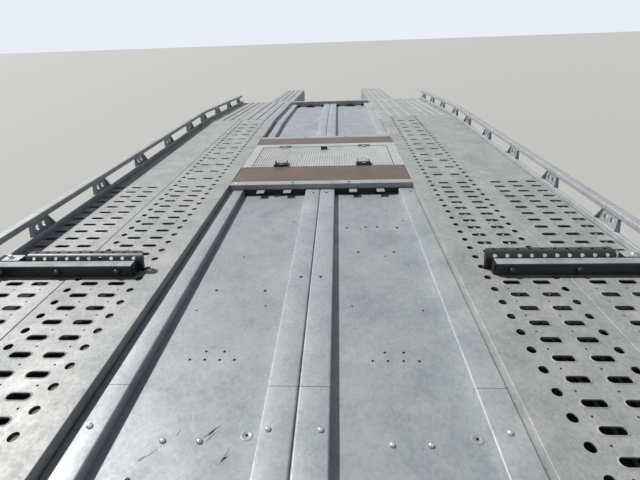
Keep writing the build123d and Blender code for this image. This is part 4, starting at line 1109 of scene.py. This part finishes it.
def wheel_disc(place):
    """Dished disc with round hand holes, its thickness following the dish."""
    def height(r):
        for (r0, h0), (r1, h1) in zip(DISC_LINE, DISC_LINE[1:]):
            if r <= r1:
                return h0 + (h1 - h0) * max(0, r - r0) / (r1 - r0)
        return DISC_LINE[-1][1]

    holes = [circle(0, 0, 2 * 86, 30)]
    for i in range(6):
        a = 2 * pi * i / 6
        holes.append(circle(172 * cos(a), 172 * sin(a), 42, 16))
    lines = [circle(0, 0, 2 * r, 60) + circle(0, 0, 2 * r, 60)[:1] for r in (132, 148, 196)]
    return Form().plate(circle(0, 0, 2 * 214, 60), holes, -12, 0, lines,
                        lambda u, v, w: place(u, v, w + height((u * u + v * v) ** 0.5)))


lug = Form().loft([[(-9, -9, -4), (9, -9, -4), (9, 9, -4), (-9, 9, -4)],
                   [(-8, -8, 5.5), (8, -8, 5.5), (8, 7, 1), (-8, 7, 1)]])
nut = on_washer(hex_head(36, 22), 46, 4).turned([(25, 11), (36, 11), (38, 9)], 12)
for axle, x in (("front", AXLE_HALF), ("rear", -AXLE_HALF)):
    for side, sign in SIDES.items():
        body = f"{axle}_{side}_wheel"
        place = about_wheel(x, side)
        form = Form().turned(TYRE_LINE, 80, place, closed=True)
        piece(f"tyre_{axle}_{side}_case", form, tyre_rubber, f"tyre_{axle}_{side}", body, level)
        for way in (-1, 1):
            spots = []
            for i in range(LUGS):
                a = 2 * pi * (i + 0.25 * (way + 1)) / LUGS
                spots.append((level(x + LUG_R * cos(a), sign * TYRE_Y + way * 88, TYRE_R + LUG_R * sin(a)),
                              (0, pi / 2 - a, 0)))
            row = "outer" if way == sign else "inner"
            turned_lug = lug if way > 0 else lug.mirrored()
            repeat(f"tyre_{axle}_{side}_lugs_{row}", turned_lug, spots, tyre_rubber, body)
        form = Form().turned(RIM_LINE, 60, place, closed=True).join(wheel_disc(place))
        piece(f"wheel_{axle}_{side}_rim", form, wheel_silver, f"wheel_{axle}_{side}", body,
              level)
        form = Form().turned(HUB_LINE, 40, place)
        piece(f"hub_{axle}_{side}", form, chassis_paint, None, body, level)
        turns = [2 * pi * (i + 0.5) / WHEEL_NUTS for i in range(WHEEL_NUTS)]
        spots = spots_at([(x + NUT_CIRCLE_R * cos(a), sign * (TYRE_Y - 20), TYRE_R + NUT_CIRCLE_R * sin(a))
                          for a in turns], level, (-sign * pi / 2, 0, 0))
        bolts(f"wheel_nuts_{axle}_{side}", nut, spots, 21, bolt_zinc, body)

# Mudguards: one skin over both wheels, its edges turned in, on a stay in the middle
GUARD_R = TYRE_R + 48
GUARD_Y0, GUARD_Y1 = 1049, 1271
GUARD_STEPS = 24
GUARD_START = radians(12)
BRIDGE_Z = 600


def guard_stations():
    """Side-view points with their outward directions, front end to rear end."""
    last = pi - asin((BRIDGE_Z - TYRE_R) / GUARD_R)
    front = []
    for i in range(GUARD_STEPS + 1):
        a = GUARD_START + (last - GUARD_START) * i / GUARD_STEPS
        front.append((AXLE_HALF + GUARD_R * cos(a), TYRE_R + GUARD_R * sin(a), cos(a), sin(a)))
    x, z, _, _ = front[-1]
    front[-1] = (x, z, -0.25, 0.97)
    return front + [(-x, z, -nx, nz) for x, z, nx, nz in reversed(front)]


across = [(GUARD_Y0, -12), (GUARD_Y0, 1), (GUARD_Y0 + 2, 3), (GUARD_Y1 - 2, 3), (GUARD_Y1, 1),
          (GUARD_Y1, -12), (GUARD_Y1 - 3, -12), (GUARD_Y1 - 4, 0), (GUARD_Y0 + 4, 0), (GUARD_Y0 + 3, -12)]
for side, sign in SIDES.items():
    form = Form()
    form.loft([[(x + nx * off, y, z + nz * off) for y, off in across] for x, z, nx, nz in guard_stations()])
    form.box(4, 12, 1135, 1185, BRIDGE_Z + 2, DECK_Z - 94, 2)
    form.box(4, 44, 1135, 1185, BRIDGE_Z + 3, BRIDGE_Z + 9, 2)
    piece(f"mudguard_{side}_skin", form.handed(side), chassis_paint, f"mudguard_{side}",
          place=level)
    spots = spots_at([(28, sign * y, BRIDGE_Z + 9) for y in (1148, 1172)], level)
    bolts(f"mudguard_{side}_bolts", on_washer(hex_head(17, 8), 28), spots, 31)

# Front beam: folded channel open towards the front, with bolted end plates
FRAME_LOW = DECK_Z - 254
BEAM_FRONT = DECK_FRONT + 45
FORWARD = (0, pi / 2, 0)
line = [(BEAM_FRONT, DECK_Z), (DECK_FRONT, DECK_Z), (DECK_FRONT, FRAME_LOW), (BEAM_FRONT, FRAME_LOW)]
form = Form().sweep(folded(line, 4, 6, 1), (-EDGE_OUTER, EDGE_OUTER), ACROSS)
for y in (-EDGE_OUTER, -535, 530, EDGE_OUTER - 5):
    form.box(DECK_FRONT + 4, DECK_FRONT + 43, y, y + 5, FRAME_LOW + 4, DECK_Z - 4, 1)
piece("front_beam_channel", form, zinc, "front_beam", place=level)
spots = spots_at([(DECK_FRONT + 4, sign * y, FRAME_LOW + up) for sign in (-1, 1) for y in (470, 505, 1180)
                  for up in (50, 125, 200)], level, FORWARD)
bolts("front_beam_bolts", on_washer(hex_head(24, 12), 36, 3), spots, 41)

# Drawbar, tapered towards its nose, with its coupling plate and gussets
DRAW_TOP, DRAW_LOW, DRAW_HALF = FRAME_LOW - 80, FRAME_LOW - 260, 70
NOSE_X = 4020


def drawbar_ring(x, low):
    return [(x, y, z) for y, z in rounded(rectangle(-DRAW_HALF, DRAW_HALF, low, DRAW_TOP), 12, 4)]


DRAWBAR_LINE = ((1000, DRAW_LOW), (3320, DRAW_LOW), (NOSE_X, DRAW_LOW + 30))
form = Form().loft([drawbar_ring(x, low) for x, low in DRAWBAR_LINE])
form.sweep(rounded(rectangle(-90, 90, DRAW_LOW + 15, DRAW_TOP + 15), 14, 4), (NOSE_X, NOSE_X + 20))
gusset = [(3940, DRAW_LOW + 85), (4019, DRAW_LOW + 45), (4019, DRAW_TOP - 20), (3940, DRAW_TOP - 60)]
for y in (-76, 76):
    form.sweep(gusset, (y - 4, y + 4), ACROSS)
piece("drawbar_box", form, zinc, "drawbar", place=level)
spots = spots_at([(NOSE_X + 20, y, z) for y in (-80, 80) for z in (DRAW_LOW + 30, DRAW_LOW + 105, DRAW_TOP)],
                 level, FORWARD)
repeat("drawbar_plate_bolts", hex_head(15, 7), spots, bolt_zinc)

# Towing eye: flange, shank and a ring about an upright bore
EYE_X, EYE_Z = 4150, DRAW_TOP - 75
FLANGE_FRONT = 4056
form = Form().sweep(rounded(rectangle(-70, 70, EYE_Z - 60, EYE_Z + 60), 16, 4), (NOSE_X + 20.2, FLANGE_FRONT))
form.turned([(4055, 42), (4062, 34), (4074, 29), (4088, 26), (4104, 25)], 28, axis_along(0, EYE_Z))
ring = ((-15, 23), (-15, 44), (-12, 50), (-6, 54), (0, 54.8), (6, 54), (12, 50), (15, 44), (15, 23),
        (12, 20.3), (-12, 20.3))
form.turned(ring, 40, axis_up(EYE_X, 0, EYE_Z), closed=True)
piece("towing_eye_forging", form, forged, "towing_eye", place=level)
spots = spots_at([(FLANGE_FRONT, y, EYE_Z + z) for y in (-52, 52) for z in (-42, 0, 42)], level, FORWARD)
bolts("towing_eye_bolts", on_washer(hex_head(24, 13), 30), spots, 45)

# Parking jack on the drawbar's right side
JACK_X, JACK_Y = 3350, -117
CRANK_Z = 728


def square(half, radius):
    """Section of a square tube about the jack's axis."""
    return rounded(rectangle(JACK_X - half, JACK_X + half, JACK_Y - half, JACK_Y + half), radius, 4)


form = Form().sweep(square(35, 7), (330, 764), UPWARD)
form.loft([[(x, y, z) for x, y in square(half, 7)] for half, z in ((34, 763), (34, 772), (26, 780))])
form.sweep(square(39, 6), (330, 350), UPWARD)
form.box(JACK_X - 70, JACK_X + 70, -82, -70, 441, 561, 3)
form.sweep(square(27.5, 5), (14, 331), UPWARD)
piece("jack_tubes", form, zinc, "jack", place=level)
JACK_FOOT = ((88, 18, 0), (95, 22, 3), (95, 22, 9), (91, 20, 10), (60, 14, 5), (44, 10, 12), (30, 6, 16))
form = Form().loft([[(x, y, z) for x, y in square(half, radius)] for half, radius, z in JACK_FOOT])
piece("jack_foot", form, frame_zinc, place=level)
form = Form()
form.turned([(-282, 8), (-152, 8), (-150, 15), (-140, 15)], 16, axis_across(JACK_X, CRANK_Z))
form.turned([(-296, 8), (-280, 8)], 16, axis_across(JACK_X, CRANK_Z))
form.turned([(616, 6), (620, 9.5), (700, 9.5), (704, 7), (736, 7)], 16, axis_up(JACK_X, -292))
piece("jack_crank", form, black_coat, place=level)
spots = spots_at([(JACK_X + way * 54, -82, z) for way in (-1, 1) for z in (462, 540)], level, (pi / 2, 0, 0))
bolts("jack_clamp_bolts", on_washer(hex_head(19, 10), 28), spots, 47)

# Rear bar with plastic ends on its hangers
BAR_X0, BAR_X1, BAR_Z0, BAR_Z1 = -2540, -2440, 420, 520
BAR_HALF = 1150
section = rounded(rectangle(BAR_X0, BAR_X1, BAR_Z0, BAR_Z1), 12, 4)
form = Form().sweep(section, (-BAR_HALF + 4, BAR_HALF - 4), ACROSS)
top0, top1 = [on_deck((x - KINK_X) / cos(SLOPE), 0, -254)[2] / MM for x in (BAR_X0, BAR_X1)]
hanger = [(BAR_X0, BAR_Z1 - 1), (BAR_X1, BAR_Z1 - 1), (BAR_X1, top1), (BAR_X0, top0)]
hanger_hole = circle(BAR_X0 + 50, (BAR_Z1 + top0) / 2, 46, 20)
for y0, y1 in ((452, 464), (-464, -452)):
    form.plate(hanger, [hanger_hole], y0, y1, place=side_on)
piece("rear_bar_box", form, zinc, "rear_bar", place=level)
form = Form()
for y0, y1 in ((-BAR_HALF, -BAR_HALF + 8), (BAR_HALF - 8, BAR_HALF)):
    form.box(BAR_X0 - 1, BAR_X1 + 1, y0, y1, BAR_Z0 - 1, BAR_Z1 + 1, 3)
piece("rear_bar_ends", form, housing, place=level)

# Rear lamps with ribbed lenses, triangle reflectors and the blank plate
LAMP_X = -2585
LENS_RIB = 7
LENSES = (("tail", 1036, 1144, lamp_red), ("turn", 920, 1032, lamp_amber), ("reverse", 858, 916, lamp_clear),
          ("fog", 796, 854, lamp_red))
for side in SIDES:
    form = Form().box(LAMP_X + 16, BAR_X0, 790, BAR_HALF, 405, 535, 8)
    piece(f"rear_lamp_{side}_housing", form.handed(side), housing, place=level)
    for name, y0, y1, material in LENSES:
        lens = Form().box(LAMP_X, LAMP_X + 20, y0, y1, 412, 528, 5)
        for i in range(int((y1 - y0 - 16) / LENS_RIB)):
            y = y0 + 9 + i * LENS_RIB
            lens.box(LAMP_X - 0.6, LAMP_X + 0.4, y, y + 4.5, 420, 520, 0.4)
        node = "rear_lamps" if (side, name) == ("left", "tail") else None
        piece(f"rear_lamp_{side}_{name}", lens.handed(side), material, node, place=level)
    form = Form().plate([(620, 425), (760, 425), (690, 515)], [[(660, 447), (720, 447), (690, 486)]],
                        BAR_X0 - 6, BAR_X0, place=end_on)
    piece(f"triangle_reflector_{side}", form.handed(side), lamp_red, place=level)
form = Form().box(-2542, BAR_X0, -260, 260, 414, 526, 0.8)
piece("number_plate_holder", form, housing, place=level)
form = Form().box(-2543, -2541.8, -254, 254, 419, 521, 0.5)
piece("number_plate_blank", form, blank_plate, "number_plate", place=level)

# Air springs with their pistons, as lines of (height, radius) from the arm
SPRING_Z = 413.5
BELLOWS = ((58, 60), (62, 80), (72, 96), (88, 104), (104, 105), (192, 105), (206, 103), (218, 96), (226, 84),
           (234, 80))
PISTON = ((0, 74), (6, 76), (12, 70), (50, 62), (66, 58))
TOP_PLATE = ((234, 88), (247.5, 88))
bellows = Form()
pistons = Form()
for x in (AXLE_HALF - 260, -AXLE_HALF - 260):
    for y in (-493.5, 493.5):
        bellows.turned(BELLOWS, 32, axis_up(x, y, SPRING_Z))
        pistons.turned(PISTON, 28, axis_up(x, y, SPRING_Z))
        pistons.turned(TOP_PLATE, 28, axis_up(x, y, SPRING_Z))
piece("air_spring_bellows", bellows, rubber, "air_springs", place=level)
piece("air_spring_pistons", pistons, housing, place=level)

# Air reservoir across the trailer on two straps, with its drain
TANK_X, TANK_Z = -877, 560
TANK_END = ((310, 16), (309, 45), (305, 72), (297, 95), (285, 111), (268, 119), (262, 120), (260, 121.5),
            (256, 121.5), (254, 120))
tank_line = [(-w, r) for w, r in TANK_END] + [(w, r) for w, r in reversed(TANK_END)]
form = Form().turned(tank_line, 36, axis_across(TANK_X, TANK_Z))
for y in (-180, 180):
    strap = [(y - 20, 120.5), (y - 20, 124.5), (y + 20, 124.5), (y + 20, 120.5)]
    form.turned(strap, 36, axis_across(TANK_X, TANK_Z), closed=True)
    form.box(TANK_X - 5, TANK_X + 5, y - 20, y + 20, TANK_Z + 119, DECK_Z - 150, 1)
form.turned([(-125, 14), (-118, 14)], 10, axis_up(TANK_X, 60, TANK_Z))
piece("air_tank_shell", form, chassis_paint, "air_tank", place=level)


def seen_rays(tree):
    """1 for rays by which a backdrop is seen, straight, in metal or through glass, and 0 for its light."""
    path = add_node(tree, "ShaderNodeLightPath").outputs
    straight = add_node(tree, "ShaderNodeMath", {0: path["Is Camera Ray"], 1: path["Is Transmission Ray"]},
                        operation="MAXIMUM")
    seen = add_node(tree, "ShaderNodeMath", {0: straight.outputs[0], 1: path["Is Glossy Ray"]},
                    operation="MAXIMUM")
    return seen.outputs[0]


# Pale floor, which throws little light back up under the deck
FLOOR_HALF_M = 60
floor_corners = rectangle(-FLOOR_HALF_M, FLOOR_HALF_M, -FLOOR_HALF_M, FLOOR_HALF_M)
floor_mesh = bpy.data.meshes.new("floor")
floor_mesh.from_pydata([(x, y, 0) for x, y in floor_corners], [], [(0, 1, 2, 3)])
floor_material = bpy.data.materials.new("pale floor")
floor_material.use_nodes = True
tree = floor_material.node_tree
floor_shader = tree.nodes["Principled BSDF"]
floor_colour = add_node(tree, "ShaderNodeMix", {0: seen_rays(tree), 6: linear("5a5a59"), 7: linear("c9c9c6")},
                        data_type="RGBA")
tree.links.new(floor_colour.outputs[2], floor_shader.inputs["Base Color"])
floor_shader.inputs["Roughness"].default_value = 0.9
floor_mesh.materials.append(floor_material)
in_scene("floor", floor_mesh)

# World: weak blue light from the sky, seen as a pale sky
world = bpy.data.worlds.new("studio")
SCENE.world = world
world.use_nodes = True
tree = world.node_tree
sky = tree.nodes["Background"]
seen = seen_rays(tree)
strength = add_node(tree, "ShaderNodeMapRange", {"Value": seen, 3: 0.08, 4: 1.0})
tree.links.new(strength.outputs[0], sky.inputs["Strength"])
tint = add_node(tree, "ShaderNodeMix", {0: seen, 6: linear("b4c6ea"), 7: linear("e9eef7")}, data_type="RGBA")
tree.links.new(tint.outputs[2], sky.inputs["Color"])

# Sun ahead of the camera and to its left, half way up
sun = bpy.data.lights.new("sun", "SUN")
sun.energy = 3.8
sun.angle = radians(3)
sun.color = (1.0, 0.985, 0.955)
in_scene("sun", sun).rotation_euler = Vector((-0.5, -0.85, 1.0)).to_track_quat("Z", "Y").to_euler()

# Camera as fitted to the rows of round holes
camera_data = bpy.data.cameras.new("camera")
camera_data.lens = 21.66
camera_data.sensor_width = 36
camera_data.clip_end = 200
camera = in_scene("camera", camera_data)
camera.location = (3.369, 0.1105, 1.702)
camera.rotation_euler = (radians(61.31617), radians(1.862106), radians(92.32053))
SCENE.camera = camera
SCENE.view_settings.view_transform = "Standard"
